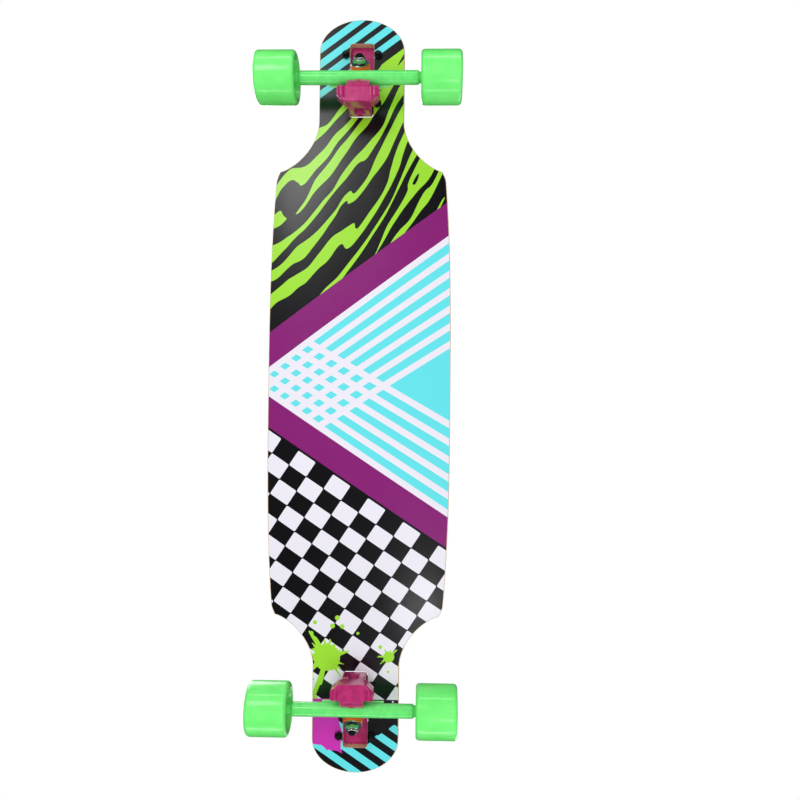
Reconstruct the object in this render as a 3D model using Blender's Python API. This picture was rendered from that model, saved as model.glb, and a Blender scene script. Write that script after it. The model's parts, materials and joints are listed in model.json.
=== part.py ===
"""A drop-through longboard: a cut-out deck with grip tape, two reverse-kingpin trucks and four wheels.

Metres, +Z up. +X points to the nose, +Y to the rider's left, and the origin lies on the ground under
the middle of the deck. Each truck is modelled once in its own frame, with its origin at the middle of
the axle and +X pointing outboard, and the rear truck is the same one turned half round.
"""

import math

import bmesh
import bpy
from mathutils import Matrix, Vector

# Deck
DECK_LENGTH = 0.965
DECK_WIDTH = 0.235
DECK_THICKNESS = 0.0115
NECK_WIDTH = 0.110  # across the narrow ends that stand between the wheels
END_DEPTH = 0.042  # how far the half-ellipse of the nose and the tail reaches
SHOULDER_REACH = 0.134  # from the deck's end to where the neck starts to widen
SHOULDER_RUN = 0.063  # along the deck, from there to the corner of the shoulder
SHOULDER_FLARE = 0.050  # how much the half width grows over that run
SIDE_CORNER = 0.016  # rounding of the shoulder's corner
CONCAVE = 0.005  # how far the sides rise above the middle
FLAT_MIDDLE = 0.017  # half width of the flat strip that runs down the middle
DECK_COLUMNS = 7  # an odd number, so that one column is the flat strip
EDGE_ROUND = 0.0025

# Grip tape
GRIP_THICKNESS = 0.0009
GRIP_END = 0.102  # bare wood at each end
GRIP_INSET = 0.0035
STRIPE_INNER = 0.030  # the bare stripe runs between these two distances right of the middle
STRIPE_OUTER = 0.080

# Running gear
WHEELBASE = 0.776
TRACK = 0.254  # outer face to outer face
WHEEL_DIAMETER = 0.065
WHEEL_WIDTH = 0.050
WHEEL_LIP = 0.0045
DECK_ABOVE_AXLE = 0.0425  # from the axle's middle to the underside of the deck
AXLE_DIAMETER = 0.008
BEARING_OUTER = 0.022
BEARING_WIDTH = 0.007
BEARING_SPACING = 0.010  # between the two bearings of one wheel
CORE_DIAMETER = 0.033
AXLE_NUT_FLATS = 0.0125
AXLE_NUT_HEIGHT = 0.0075
CHAMFER = 0.001  # at the ends of the axle and of the kingpin

# Truck
PIVOT_ANGLE = 42.0  # degrees from the deck to the steering axis
RAKE = 0.008  # the axle's distance from the steering axis, towards the road
RING_REACH = 0.0188  # from the axle to the kingpin, along the steering axis
BAR_DIAMETER = 0.0172
SPINDLE_STEP = 0.0018  # how much smaller the bar's radius is beside the wheels
WEB_ROOT = 0.038  # half width of the web where it leaves the bar
RING_DIAMETER = 0.031
RING_THICKNESS = 0.009
KINGPIN_DIAMETER = 0.0095
BUSHING_DIAMETER = 0.025
BUSHING_BOARD = 0.014
BUSHING_ROAD = 0.012
BOARD_WASHER = 0.026  # diameter
ROAD_WASHER = 0.0232
WASHER_THICKNESS = 0.0015
SEAT_THICKNESS = 0.010  # baseplate metal between the bushing's washer and the kingpin's head
NOSE_DIAMETER = 0.0115
CUP_WALL = 0.0022
NECK_THICKNESS = 0.028  # across the part of the baseplate that goes through the deck
HOUSING_WIDTH = 0.052
HOUSING_CLEARANCE = 0.0078  # from the housing to the hanger's bar, which steers
BOSS_RIM = 0.0024  # how far the bushing's seat stands out round the bushing
BARREL_WALL = 0.0032  # round the pivot cup
BARREL_END = 0.0045  # behind the pivot cup
RIB_RADIUS = 0.0042
POCKET_WALL = 0.0078  # each side of the blind pocket in the neck's inboard face
HEAD_CLEARANCE = 0.0008  # round the kingpin's head in its well
WELL_REACH = 0.036  # how far the well runs above the head's seat
SHORT = 0.0006  # keeps shapes that are joined from sharing a plane

# Baseplate flange and its bolts
FLANGE_LENGTH = 0.0895
FLANGE_WIDTH = 0.055
FLANGE_THICKNESS = 0.008
FLANGE_INBOARD = 0.0225  # from the axle to the flange's inboard end
BOLT_SPACING_LONG = 0.0635
BOLT_SPACING_SHORT = 0.0540
BOLT_SPACING_ACROSS = 0.0413
BOLT_MIDDLE = 0.016  # outboard of the axle
BOLT_DIAMETER = 0.0048
SPARE_HOLE = 0.0042
BOLT_HEAD = 0.0092
BOLT_HEAD_HEIGHT = 0.0028
BOLT_SOCKET = 0.0030  # flats of the hexagonal socket
BOLT_LENGTH = 0.031
LOCKNUT_FLATS = 0.0095
LOCKNUT_HEIGHT = 0.0052
LOCKNUT_COLLAR = 0.0006  # how far a collar stands in from its nut's flats
NUT_COLLAR = 0.0008
SLOT_INBOARD = 0.0345
SLOT_LENGTH = 0.0975

# Clearances
GAP = 0.0003  # between pieces that rest on each other
RUNNING = 0.0006  # around what turns
RECESS_FLARE = 0.16  # how fast the bushing's recess in the hanger widens
RING_CLEARANCE = 0.0028  # around the kingpin in the hanger's ring, which tilts on it
SLOT_CLEARANCE = 0.0015
HOLE_CLEARANCE = 0.0003
OVERSHOOT = 0.010  # how far a cutter reaches past what it cuts

# Sides of the round pieces
WHEEL_ROUND = 24
ROUND = 18
SMALL_ROUND = 10

# What follows from the sizes above
AXLE_HEIGHT = WHEEL_DIAMETER / 2
DECK_BOTTOM = AXLE_HEIGHT + DECK_ABOVE_AXLE
DECK_TOP = DECK_BOTTOM + DECK_THICKNESS
FLANGE_BOTTOM = DECK_ABOVE_AXLE + DECK_THICKNESS + GAP  # in the truck's frame
FLANGE_TOP = FLANGE_BOTTOM + FLANGE_THICKNESS
SLOT_HALF = NECK_THICKNESS / 2 + SLOT_CLEARANCE
WHEEL_MIDDLE = (TRACK - WHEEL_WIDTH) / 2
BEARING_STACK = 2 * BEARING_WIDTH + BEARING_SPACING
HANGER_HALF = WHEEL_MIDDLE - BEARING_STACK / 2 - 2 * RUNNING
PIVOT = math.radians(PIVOT_ANGLE)
STEER_DIRECTION = Vector((math.cos(PIVOT), 0, math.sin(PIVOT)))
KINGPIN_DIRECTION = Vector((math.sin(PIVOT), 0, -math.cos(PIVOT)))
RING_CENTRE = RING_REACH * STEER_DIRECTION - RAKE * KINGPIN_DIRECTION
BOARD_BUSHING_FOOT = -RING_THICKNESS / 2 - GAP  # along the kingpin from the ring's middle
SEAT = BOARD_BUSHING_FOOT - BUSHING_BOARD - GAP - WASHER_THICKNESS - GAP
HEAD_SEAT = SEAT - SEAT_THICKNESS - GAP
ROAD_BUSHING_FOOT = RING_THICKNESS / 2 + GAP
ROAD_WASHER_FOOT = ROAD_BUSHING_FOOT + BUSHING_ROAD + GAP
NUT_FOOT = ROAD_WASHER_FOOT + WASHER_THICKNESS + GAP
NUT_HEIGHT = 0.008
KINGPIN_HEAD = 0.006
KINGPIN_FLATS = 0.015
NOSE_TIP = -RING_REACH - 0.0175  # along the steering axis from the ring's middle
CUP_MOUTH = -RING_REACH - 0.0100
CUP_END = NOSE_TIP - CUP_WALL
CUP_RADIUS = NOSE_DIAMETER / 2 + GAP + CUP_WALL


# ---------------------------------------------------------------- helpers


def clear_scene():
    """Empty the scene, and the meshes and materials that it leaves."""
    for thing in list(bpy.data.objects):
        bpy.data.objects.remove(thing)
    for mesh in list(bpy.data.meshes):
        bpy.data.meshes.remove(mesh)
    for old in list(bpy.data.materials):
        bpy.data.materials.remove(old)


def finish_of(name, colour, roughness, metallic=0.0):
    """A Principled material."""
    made = bpy.data.materials.new(name)
    made.use_nodes = True
    shader = made.node_tree.nodes["Principled BSDF"]
    shader.inputs["Base Color"].default_value = (*colour, 1)
    shader.inputs["Roughness"].default_value = roughness
    shader.inputs["Metallic"].default_value = metallic
    made.diffuse_color = (*colour, 1)
    return made


def arc(centre, radius, start, end, steps):
    """Points on an arc, in degrees, both ends included."""
    angles = [math.radians(start + (end - start) * i / steps) for i in range(steps + 1)]
    return [(centre[0] + radius * math.cos(a), centre[1] + radius * math.sin(a)) for a in angles]


def rounded(corners, steps=3):
    """An outline from corners (x, y, radius), each rounded by its radius."""
    points = []
    for i, (x, y, radius) in enumerate(corners):
        here = Vector((x, y))
        if radius == 0:
            points.append(tuple(here))
            continue
        before = (Vector(corners[i - 1][:2]) - here).normalized()
        after = (Vector(corners[(i + 1) % len(corners)][:2]) - here).normalized()
        half = before.angle(after) / 2
        middle = here + (before + after).normalized() * radius / math.sin(half)
        first = here + before * radius / math.tan(half) - middle
        last = here + after * radius / math.tan(half) - middle
        turn = math.atan2(first.cross(last), first.dot(last))
        for k in range(steps + 1):
            points.append(tuple(middle + Matrix.Rotation(turn * k / steps, 2) @ first))
    return points


def prism(outline, low, high):
    """A flat outline in XY, extruded along Z."""
    mesh = bmesh.new()
    face = mesh.faces.new([mesh.verts.new((x, y, low)) for x, y in outline])
    grown = bmesh.ops.extrude_face_region(mesh, geom=[face])
    moved = [v for v in grown["geom"] if isinstance(v, bmesh.types.BMVert)]
    bmesh.ops.translate(mesh, verts=moved, vec=(0, 0, high - low))
    bmesh.ops.recalc_face_normals(mesh, faces=mesh.faces)
    return mesh


def side_prism(outline, half_width):
    """An outline in XZ, extruded to both sides along Y."""
    mesh = prism(outline, -half_width, half_width)
    bmesh.ops.rotate(mesh, verts=mesh.verts, matrix=Matrix.Rotation(math.pi / 2, 3, "X"))
    return mesh


def cross_prism(outline, low, high):
    """An outline in YZ, extruded along X."""
    mesh = prism(outline, low, high)
    to_yz = Matrix(((0, 0, 1), (1, 0, 0), (0, 1, 0)))
    bmesh.ops.transform(mesh, verts=mesh.verts, matrix=to_yz.to_4x4())
    return mesh


def turned(profile, segments, closed=False):
    """A profile of (radius, height) spun about Z. A closed one is a ring; an open one ends on the axis."""
    mesh = bmesh.new()
    points = [mesh.verts.new((radius, 0, height)) for radius, height in profile]
    ends = points[1:] + points[:1] if closed else points[1:]
    edges = [mesh.edges.new(pair) for pair in zip(points, ends)]
    bmesh.ops.spin(
        mesh,
        geom=points + edges,
        cent=(0, 0, 0),
        axis=(0, 0, 1),
        angle=2 * math.pi,
        steps=segments,
        use_merge=True,
    )
    bmesh.ops.remove_doubles(mesh, verts=mesh.verts, dist=1e-6)
    bmesh.ops.recalc_face_normals(mesh, faces=mesh.faces)
    return mesh


def rod(radius, low, high, segments=ROUND):
    """A plain cylinder along Z."""
    return turned([(0, low), (radius, low), (radius, high), (0, high)], segments)


def ring(inner, outer, low, high, segments=ROUND):
    """A plain tube along Z."""
    return turned([(inner, low), (outer, low), (outer, high), (inner, high)], segments, closed=True)


def hexagon(flats, low, high):
    """A hexagonal head or nut along Z, with a flat on each side of X."""
    mesh = bmesh.new()
    bmesh.ops.create_cone(
        mesh,
        cap_ends=True,
        segments=6,
        radius1=flats / math.sqrt(3),
        radius2=flats / math.sqrt(3),
        depth=high - low,
    )
    bmesh.ops.translate(mesh, verts=mesh.verts, vec=(0, 0, (low + high) / 2))
    return mesh


def along(mesh, direction, origin=(0, 0, 0)):
    """Turn a mesh made along Z to a direction in the XZ plane, then move it."""
    angle = math.atan2(direction[0], direction[2])
    bmesh.ops.rotate(mesh, verts=mesh.verts, matrix=Matrix.Rotation(angle, 3, "Y"))
    bmesh.ops.translate(mesh, verts=mesh.verts, vec=origin)
    return mesh


def across(mesh, origin=(0, 0, 0)):
    """Turn a mesh made along Z to lie along Y, then move it."""
    bmesh.ops.rotate(mesh, verts=mesh.verts, matrix=Matrix.Rotation(-math.pi / 2, 3, "X"))
    bmesh.ops.translate(mesh, verts=mesh.verts, vec=origin)
    return mesh


def moved(mesh, offset):
    """The mesh, moved."""
    bmesh.ops.translate(mesh, verts=mesh.verts, vec=offset)
    return mesh


def work_object(mesh):
    """An object for a shape that is still being made."""
    data = bpy.data.meshes.new("work")
    mesh.to_mesh(data)
    mesh.free()
    made = bpy.data.objects.new("work", data)
    bpy.context.scene.collection.objects.link(made)
    made.hide_render = True
    made.display_type = "WIRE"
    return made


def carve(base, joined=(), cut=(), solver="EXACT"):
    """One mesh: the base with some meshes united to it and others cut out of it, in that order."""
    body = work_object(base)
    helpers = []
    for operation, tools in (("UNION", joined), ("DIFFERENCE", cut)):
        for tool in tools:
            helpers.append(work_object(tool))
            step = body.modifiers.new(operation, "BOOLEAN")
            step.operation = operation
            step.solver = solver
            step.object = helpers[-1]
    bpy.context.view_layer.update()
    graph = bpy.context.evaluated_depsgraph_get()
    data = bpy.data.meshes.new_from_object(body.evaluated_get(graph))
    result = bmesh.new()
    result.from_mesh(data)
    bmesh.ops.remove_doubles(result, verts=result.verts, dist=1e-6)
    for thing in [body, *helpers]:
        bpy.data.objects.remove(thing)
    return result


def mesh_data(name, mesh, sharp=35):
    """Mesh data that several objects may share, shaded smooth up to a sharp angle in degrees."""
    data = bpy.data.meshes.new(name)
    mesh.to_mesh(data)
    mesh.free()
    data.shade_smooth()
    data.set_sharp_from_angle(angle=math.radians(sharp))
    return data


def place(name, data, finish, parent=None, location=(0, 0, 0), rotation=(0, 0, 0)):
    """A named piece. Copies share their mesh, and each holds its own material."""
    made = bpy.data.objects.new(name, data)
    bpy.context.scene.collection.objects.link(made)
    made.parent = parent
    made.location = location
    made.rotation_euler = rotation
    if not data.materials:
        data.materials.append(finish)
    made.material_slots[0].link = "OBJECT"
    made.material_slots[0].material = finish
    return made


def frame_at(name, parent=None, location=(0, 0, 0), rotation=(0, 0, 0)):
    """An empty that holds a frame, such as a joint's axis."""
    made = bpy.data.objects.new(name, None)
    bpy.context.scene.collection.objects.link(made)
    made.empty_display_size = 0.03
    made.parent = parent
    made.location = location
    made.rotation_euler = rotation
    return made


# ---------------------------------------------------------------- deck


def half_outline():
    """Stations (x, half width) from the nose's tip to the middle of the deck."""
    end = DECK_LENGTH / 2
    neck = NECK_WIDTH / 2
    stations = []
    for i in range(9):
        turn = math.radians(90 - 10 * i)
        stations.append((end - END_DEPTH * (1 - math.sin(turn)), neck * math.cos(turn)))
    stations.append((end - END_DEPTH, neck))
    start = end - SHOULDER_REACH
    stations.append((start, neck))
    # The shoulder is a quarter wave that steepens up to its corner.
    steps = 9
    for i in range(1, steps + 1):
        t = i / steps
        run = SHOULDER_RUN * (1 - (1 - t) ** 1.35)
        stations.append((start - run, neck + SHOULDER_FLARE * t**1.75))
    # The corner, and then the long slight belly of the side.
    corner_x = start - SHOULDER_RUN
    corner_y = neck + SHOULDER_FLARE
    side_x = corner_x - SIDE_CORNER
    side_y = belly(side_x, corner_x)
    for i in range(1, 5):
        t = i / 4
        bend = math.sin(t * math.pi / 2)
        stations.append((corner_x - SIDE_CORNER * t, corner_y + (side_y - corner_y) * bend))
    for share in (0.82, 0.64, 0.45, 0.22, 0):
        stations.append((side_x * share, belly(side_x * share, corner_x)))
    return stations


def belly(x, corner_x):
    """Half width of the long side, which is widest in the middle of the deck."""
    full = DECK_WIDTH / 2
    narrower = full - (NECK_WIDTH / 2 + SHOULDER_FLARE) - 0.004
    return full - narrower * (abs(x) / corner_x) ** 3


def rise(x, y):
    """How far the concave lifts the deck: nothing at the flat ends, all of it along the wide part."""
    start = DECK_LENGTH / 2 - SHOULDER_REACH
    blend = min(max((start - abs(x)) / (SHOULDER_RUN + SIDE_CORNER), 0), 1)
    blend = blend * blend * (3 - 2 * blend)
    beyond = max(abs(y) - FLAT_MIDDLE, 0) / (DECK_WIDTH / 2 - FLAT_MIDDLE)
    return CONCAVE * blend * beyond**2


def full_outline():
    """Stations from the tail to the nose."""
    front = half_outline()
    return [(-x, w) for x, w in front[:-1]] + front[::-1]


def sheet(rows, bottom, top, columns):
    """A bent sheet. Each row is (x, left y, right y), and the sheet follows the concave."""
    mesh = bmesh.new()
    grids = []
    for level in (bottom, top):
        grid = []
        for x, left, right in rows:
            ys = [right + (left - right) * i / columns for i in range(columns + 1)]
            grid.append([mesh.verts.new((x, y, level + rise(x, y))) for y in ys])
        grids.append(grid)
    low, high = grids
    for i in range(len(rows) - 1):
        for j in range(columns):
            for grid in grids:
                mesh.faces.new((grid[i][j], grid[i + 1][j], grid[i + 1][j + 1], grid[i][j + 1]))
        for j in (0, columns):
            mesh.faces.new((low[i][j], low[i + 1][j], high[i + 1][j], high[i][j]))
    for i in (0, len(rows) - 1):
        for j in range(columns):
            mesh.faces.new((low[i][j], low[i][j + 1], high[i][j + 1], high[i][j]))
    bmesh.ops.remove_doubles(mesh, verts=mesh.verts, dist=1e-6)
    bmesh.ops.recalc_face_normals(mesh, faces=mesh.faces)
    return mesh


def bolt_points(spacing):
    """The bolt places in the truck's frame for one spacing along the deck."""
    half = BOLT_SPACING_ACROSS / 2
    return [(BOLT_MIDDLE + end * spacing / 2, side * half) for end in (1, -1) for side in (1, -1)]


def slot_outline(margin=0.0):
    """The cut-out for the baseplate, in the truck's frame."""
    low = -SLOT_INBOARD - margin
    high = SLOT_LENGTH - SLOT_INBOARD + margin
    half = SLOT_HALF + margin
    return rounded([(low, -half, 0.004), (high, -half, 0.004), (high, half, 0.004), (low, half, 0.004)])


def flange_outline(margin=0.0):
    """The baseplate's flange from above: straight sides, sloping shoulders, and a tab outboard."""
    low = -FLANGE_INBOARD - margin
    high = FLANGE_LENGTH - FLANGE_INBOARD + margin
    half = FLANGE_WIDTH / 2 + margin
    tab = SLOT_HALF + margin
    shoulder = BOLT_MIDDLE + BOLT_SPACING_LONG / 2 - 0.0035
    return rounded(
        [
            (low, -half, 0.004),
            (shoulder, -half, 0.006),
            (high - 0.008, -tab, 0.003),
            (high, -tab, 0.004),
            (high, tab, 0.004),
            (high - 0.008, tab, 0.003),
            (shoulder, half, 0.006),
            (low, half, 0.004),
        ]
    )


def at_ends(outline):
    """An outline in the truck's frame, in world coordinates, for the front and for the rear truck."""
    front = [(x + WHEELBASE / 2, y) for x, y in outline]
    return front, [(-x, -y) for x, y in front]


def build_deck(finish):
    rows = [(x, w, -w) for x, w in full_outline()]
    blank = work_object(sheet(rows, DECK_BOTTOM, DECK_TOP, DECK_COLUMNS))
    edge = blank.modifiers.new("edge", "BEVEL")
    edge.width = EDGE_ROUND
    edge.segments = 1
    edge.limit_method = "ANGLE"
    edge.angle_limit = math.radians(60)
    bpy.context.view_layer.update()
    graph = bpy.context.evaluated_depsgraph_get()
    data = bpy.data.meshes.new_from_object(blank.evaluated_get(graph))
    bpy.data.objects.remove(blank)
    board = bmesh.new()
    board.from_mesh(data)
    low = DECK_BOTTOM - OVERSHOOT
    high = DECK_TOP + OVERSHOOT
    cutters = [prism(outline, low, high) for outline in at_ends(slot_outline())]
    for x, y in bolt_points(BOLT_SPACING_LONG):
        for sign in (1, -1):
            hole = rod(BOLT_DIAMETER / 2 + HOLE_CLEARANCE, low, high, SMALL_ROUND)
            cutters.append(moved(hole, (sign * (x + WHEELBASE / 2), sign * y, 0)))
    place("deck", mesh_data("deck", carve(board, cut=cutters)), finish)


def build_grip(finish):
    """Two strips: a wide one from the left edge past the middle, and a narrow one at the right edge."""
    limit = DECK_LENGTH / 2 - GRIP_END
    bottom = DECK_TOP + GAP
    top = bottom + GRIP_THICKNESS
    stations = [(x, w) for x, w in full_outline() if abs(x) < limit - 0.002]
    neck = NECK_WIDTH / 2
    stations = [(-limit, neck)] + stations + [(limit, neck)]
    wide = [(x, w - GRIP_INSET, -min(STRIPE_INNER, w - GRIP_INSET)) for x, w in stations]
    cutters = []
    for outline in (*at_ends(flange_outline(2 * GAP)), *at_ends(slot_outline(2 * GAP))):
        cutters.append(prism(outline, bottom - OVERSHOOT, top + OVERSHOOT))
    sheet_data = carve(sheet(wide, bottom, top, 4), cut=cutters)
    place("grip_wide", mesh_data("grip_wide", sheet_data), finish)
    narrow = [
        (x, -STRIPE_OUTER, -(w - GRIP_INSET))
        for x, w in stations
        if w - GRIP_INSET > STRIPE_OUTER + 0.002
    ]
    place("grip_narrow", mesh_data("grip_narrow", sheet(narrow, bottom, top, 2)), finish)


# ---------------------------------------------------------------- truck


def on_kingpin(distance, sideways=0.0):
    """A point in the truck's XZ plane: so far along the kingpin, and so far along the steering axis."""
    point = RING_CENTRE + distance * KINGPIN_DIRECTION + sideways * STEER_DIRECTION
    return point.x, point.z


def baseplate_mesh():
    """The casting: flange, hollow neck through the deck, bushing seat, and the ribbed pivot housing."""
    seat_radius = BUSHING_DIAMETER / 2 + BOSS_RIM
    mouth_half = CUP_RADIUS + BARREL_WALL
    inboard = SLOT_INBOARD - SLOT_CLEARANCE
    below_deck = DECK_ABOVE_AXLE - 0.0015
    mouth_low = on_kingpin(mouth_half - SHORT, CUP_MOUTH - SHORT)
    mouth_high = on_kingpin(-mouth_half, CUP_MOUTH - SHORT)
    end_low = on_kingpin(mouth_half, CUP_END - 0.0035)
    end_high = on_kingpin(-mouth_half, CUP_END - 0.0035)
    profile = [
        (-FLANGE_INBOARD - 0.0010, FLANGE_BOTTOM + 0.003),
        (-inboard, below_deck),
        (-inboard - 0.0035, end_high[1] + 0.012),
        (-inboard - 0.0020, end_high[1] - 0.002),
        (end_low[0] - 0.007, end_low[1] + 0.002),
        end_low,
        mouth_low,
        mouth_high,
        on_kingpin(SEAT - SHORT, -seat_radius),
        on_kingpin(SEAT - SHORT, seat_radius),
        (0.012, DECK_ABOVE_AXLE + 0.005),
        (0.022, FLANGE_BOTTOM + 0.003),
    ]
    flange = prism(flange_outline(), FLANGE_BOTTOM, FLANGE_TOP)
    neck = side_prism(profile, NECK_THICKNESS / 2)
    boss = along(rod(seat_radius, SEAT - SEAT_THICKNESS - 0.003, SEAT), KINGPIN_DIRECTION, RING_CENTRE)
    barrel = along(
        turned(
            [
                (0, CUP_END - BARREL_END),
                (mouth_half - 0.004, CUP_END - BARREL_END),
                (mouth_half, CUP_END - 0.001),
                (mouth_half, CUP_MOUTH),
                (0, CUP_MOUTH),
            ],
            ROUND,
        ),
        STEER_DIRECTION,
        RING_CENTRE,
    )
    # The wide housing stands inboard of the bar, far enough away for the bar to steer.
    housing_low = end_low[1] + 0.001
    housing_high = end_high[1] + 0.004
    outboard = -BAR_DIAMETER / 2 - HOUSING_CLEARANCE
    back = -inboard - 0.0030
    wing = HOUSING_WIDTH / 2
    plan = rounded(
        [
            (back, -wing + 0.009, 0.002),
            (back + 0.008, -wing, 0.002),
            (outboard, -wing, 0.002),
            (outboard, wing, 0.002),
            (back + 0.008, wing, 0.002),
            (back, wing - 0.009, 0.002),
        ],
        steps=2,
    )
    housing = prism(plan, housing_low, housing_high)
    gusset = cross_prism(
        [
            (-wing + 0.004, housing_high - 0.002),
            (wing - 0.004, housing_high - 0.002),
            (NECK_THICKNESS / 2 - 0.001, housing_high + 0.013),
            (-NECK_THICKNESS / 2 + 0.001, housing_high + 0.013),
        ],
        back + 0.006,
        outboard - 0.004,
    )
    rib_low = housing_low + 0.0018
    ribs = []
    rib_at = wing - RIB_RADIUS - 0.0015
    for y in (-rib_at, rib_at):
        rib = rod(RIB_RADIUS, back + 0.0055, outboard - 0.0008, SMALL_ROUND)
        ribs.append(along(rib, (1, 0, 0), (0, y, rib_low)))

    # What is hollow: the well for the kingpin's head, a blind pocket in the inboard face, and the holes.
    head = KINGPIN_FLATS / math.sqrt(3) + HEAD_CLEARANCE
    well_low = on_kingpin(HEAD_SEAT + GAP, -head)
    well_high = on_kingpin(HEAD_SEAT + GAP, head)
    well_out = on_kingpin(HEAD_SEAT - WELL_REACH, -head)
    well = side_prism(
        [
            (well_out[0], FLANGE_TOP + OVERSHOOT),
            (0.033, FLANGE_TOP + OVERSHOOT),
            (0.033, FLANGE_TOP - 0.004),
            (0.024, FLANGE_TOP - 0.0055),
            (0.010, FLANGE_BOTTOM - 0.002),
            well_high,
            well_low,
            well_out,
        ],
        head,
    )
    pocket_high = well_low[1] - 0.008
    pocket = side_prism(
        [
            (-inboard - 0.012, pocket_high + 0.006),
            (-inboard - 0.012, end_high[1] + 0.006),
            (-inboard + 0.0050, end_high[1] + 0.008),
            (-inboard + 0.0065, pocket_high),
        ],
        NECK_THICKNESS / 2 - POCKET_WALL,
    )
    pin_hole = along(
        rod(KINGPIN_DIAMETER / 2 + GAP, HEAD_SEAT - 0.002, SEAT + 0.005),
        KINGPIN_DIRECTION,
        RING_CENTRE,
    )
    bore = along(
        rod(CUP_RADIUS + GAP, CUP_END - GAP, CUP_MOUTH + 0.005), STEER_DIRECTION, RING_CENTRE
    )
    # Two more holes serve the shorter bolt spacing, and stay empty.
    spare = BOLT_MIDDLE - BOLT_SPACING_LONG / 2 + BOLT_SPACING_SHORT
    drilled = [(x, y, BOLT_DIAMETER / 2 + HOLE_CLEARANCE) for x, y in bolt_points(BOLT_SPACING_LONG)]
    drilled += [(spare, side * BOLT_SPACING_ACROSS / 2, SPARE_HOLE / 2) for side in (1, -1)]
    holes = []
    for x, y, radius in drilled:
        hole = rod(radius, FLANGE_BOTTOM - OVERSHOOT, FLANGE_TOP + OVERSHOOT, SMALL_ROUND)
        holes.append(moved(hole, (x, y, 0)))
    return carve(
        flange,
        joined=[neck, boss, barrel, housing, gusset, *ribs],
        cut=[bore, pin_hole, pocket, well, *holes],
        solver="MANIFOLD",  # so many closed shapes cross here that the exact solver leaves gaps
    )


def hanger_mesh():
    """The hanger about the ring's middle: Z along the steering axis, and X along the kingpin."""
    half_ring = RING_THICKNESS / 2
    ring_radius = RING_DIAMETER / 2
    axle_at = (RAKE, 0, -RING_REACH)
    bar_radius = BAR_DIAMETER / 2
    spindle_radius = bar_radius - SPINDLE_STEP
    shoulder = WHEEL_MIDDLE - WHEEL_WIDTH / 2 - 0.004
    bar = turned(
        [
            (0, -HANGER_HALF),
            (spindle_radius, -HANGER_HALF),
            (spindle_radius, -shoulder - 0.002),
            (bar_radius, -shoulder),
            (bar_radius, shoulder),
            (spindle_radius, shoulder + 0.002),
            (spindle_radius, HANGER_HALF),
            (0, HANGER_HALF),
        ],
        ROUND,
    )
    # The web narrows in a hollow curve from the bar to the ring.
    root = (WEB_ROOT, -RING_REACH + 0.002)
    bend = (0.017, -RING_REACH + 0.005)
    tip = (ring_radius - 0.001, 0.001)
    curve = []
    for i in range(7):
        t = i / 6
        weights = ((1 - t) ** 2, 2 * t * (1 - t), t * t)
        curve.append(tuple(sum(w * p[k] for w, p in zip(weights, (root, bend, tip))) for k in (0, 1)))
    outline = [(root[0], -RING_REACH - 0.002), *curve]
    outline += [(-y, z) for y, z in reversed(outline)]
    web = cross_prism(outline, -half_ring + 0.0005, half_ring - 0.0005)
    eye = along(rod(ring_radius, -half_ring, half_ring, WHEEL_ROUND), (1, 0, 0))
    nose_radius = NOSE_DIAMETER / 2
    nose = turned(
        [(0, NOSE_TIP)]
        + [(r, NOSE_TIP + nose_radius + h) for r, h in arc((0, 0), nose_radius, -60, 0, 3)]
        + [(nose_radius, CUP_MOUTH), (nose_radius + 0.0016, CUP_MOUTH + 0.002)]
        + [(nose_radius + 0.0016, -RING_REACH), (0, -RING_REACH)],
        ROUND,
    )
    clear = KINGPIN_DIAMETER / 2 + RING_CLEARANCE
    eye_hole = along(rod(clear, -half_ring - OVERSHOOT, half_ring + OVERSHOOT), (1, 0, 0))
    reach = HANGER_HALF + OVERSHOOT
    axle_hole = rod(AXLE_DIAMETER / 2 + GAP, -reach, reach, SMALL_ROUND)
    # The road bushing stands in a recess that widens, so that the bar clears the washer as it steers.
    seat = BUSHING_DIAMETER / 2 + RUNNING
    depth = BUSHING_ROAD + OVERSHOOT
    recess = turned([(0, 0), (seat, 0), (seat + RECESS_FLARE * depth, depth), (0, depth)], WHEEL_ROUND)
    recess = along(recess, (1, 0, 0), (half_ring - GAP, 0, 0))
    holes = [eye_hole, recess, across(axle_hole, axle_at)]
    return carve(across(bar, axle_at), joined=[web, eye, nose], cut=holes)


def pivot_cup_mesh():
    """The cup that lines the pivot housing, along the steering axis."""
    inner = NOSE_DIAMETER / 2 + GAP
    floor = NOSE_TIP - GAP
    mouth = CUP_MOUTH - GAP
    bowl = [(r, floor + inner + h) for r, h in arc((0, 0), inner, -60, 0, 3)]
    outside = [(0, CUP_END), (CUP_RADIUS, CUP_END), (CUP_RADIUS, mouth), (inner, mouth)]
    return turned([*outside, *reversed(bowl), (0, floor)], ROUND)


def bushing_mesh(length):
    """A barrel bushing with its bore, its foot at zero."""
    outer = BUSHING_DIAMETER / 2
    bore = KINGPIN_DIAMETER / 2 + GAP
    edge = 0.0015
    profile = [
        (bore, 0),
        (outer - edge, 0),
        (outer, edge),
        (outer, length - edge),
        (outer - edge, length),
        (bore, length),
    ]
    return turned(profile, ROUND, closed=True)


def kingpin_mesh():
    """The kingpin along its own axis, with a hexagonal head in the baseplate's well."""
    start = HEAD_SEAT - 0.002
    end = NUT_FOOT + NUT_HEIGHT + 0.002
    radius = KINGPIN_DIAMETER / 2
    tip = [(radius, end - CHAMFER), (radius - CHAMFER, end), (0, end)]
    shank = turned([(0, start), (radius, start), *tip], ROUND)
    head = hexagon(KINGPIN_FLATS, HEAD_SEAT - KINGPIN_HEAD, HEAD_SEAT)
    return carve(shank, joined=[head])


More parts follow.
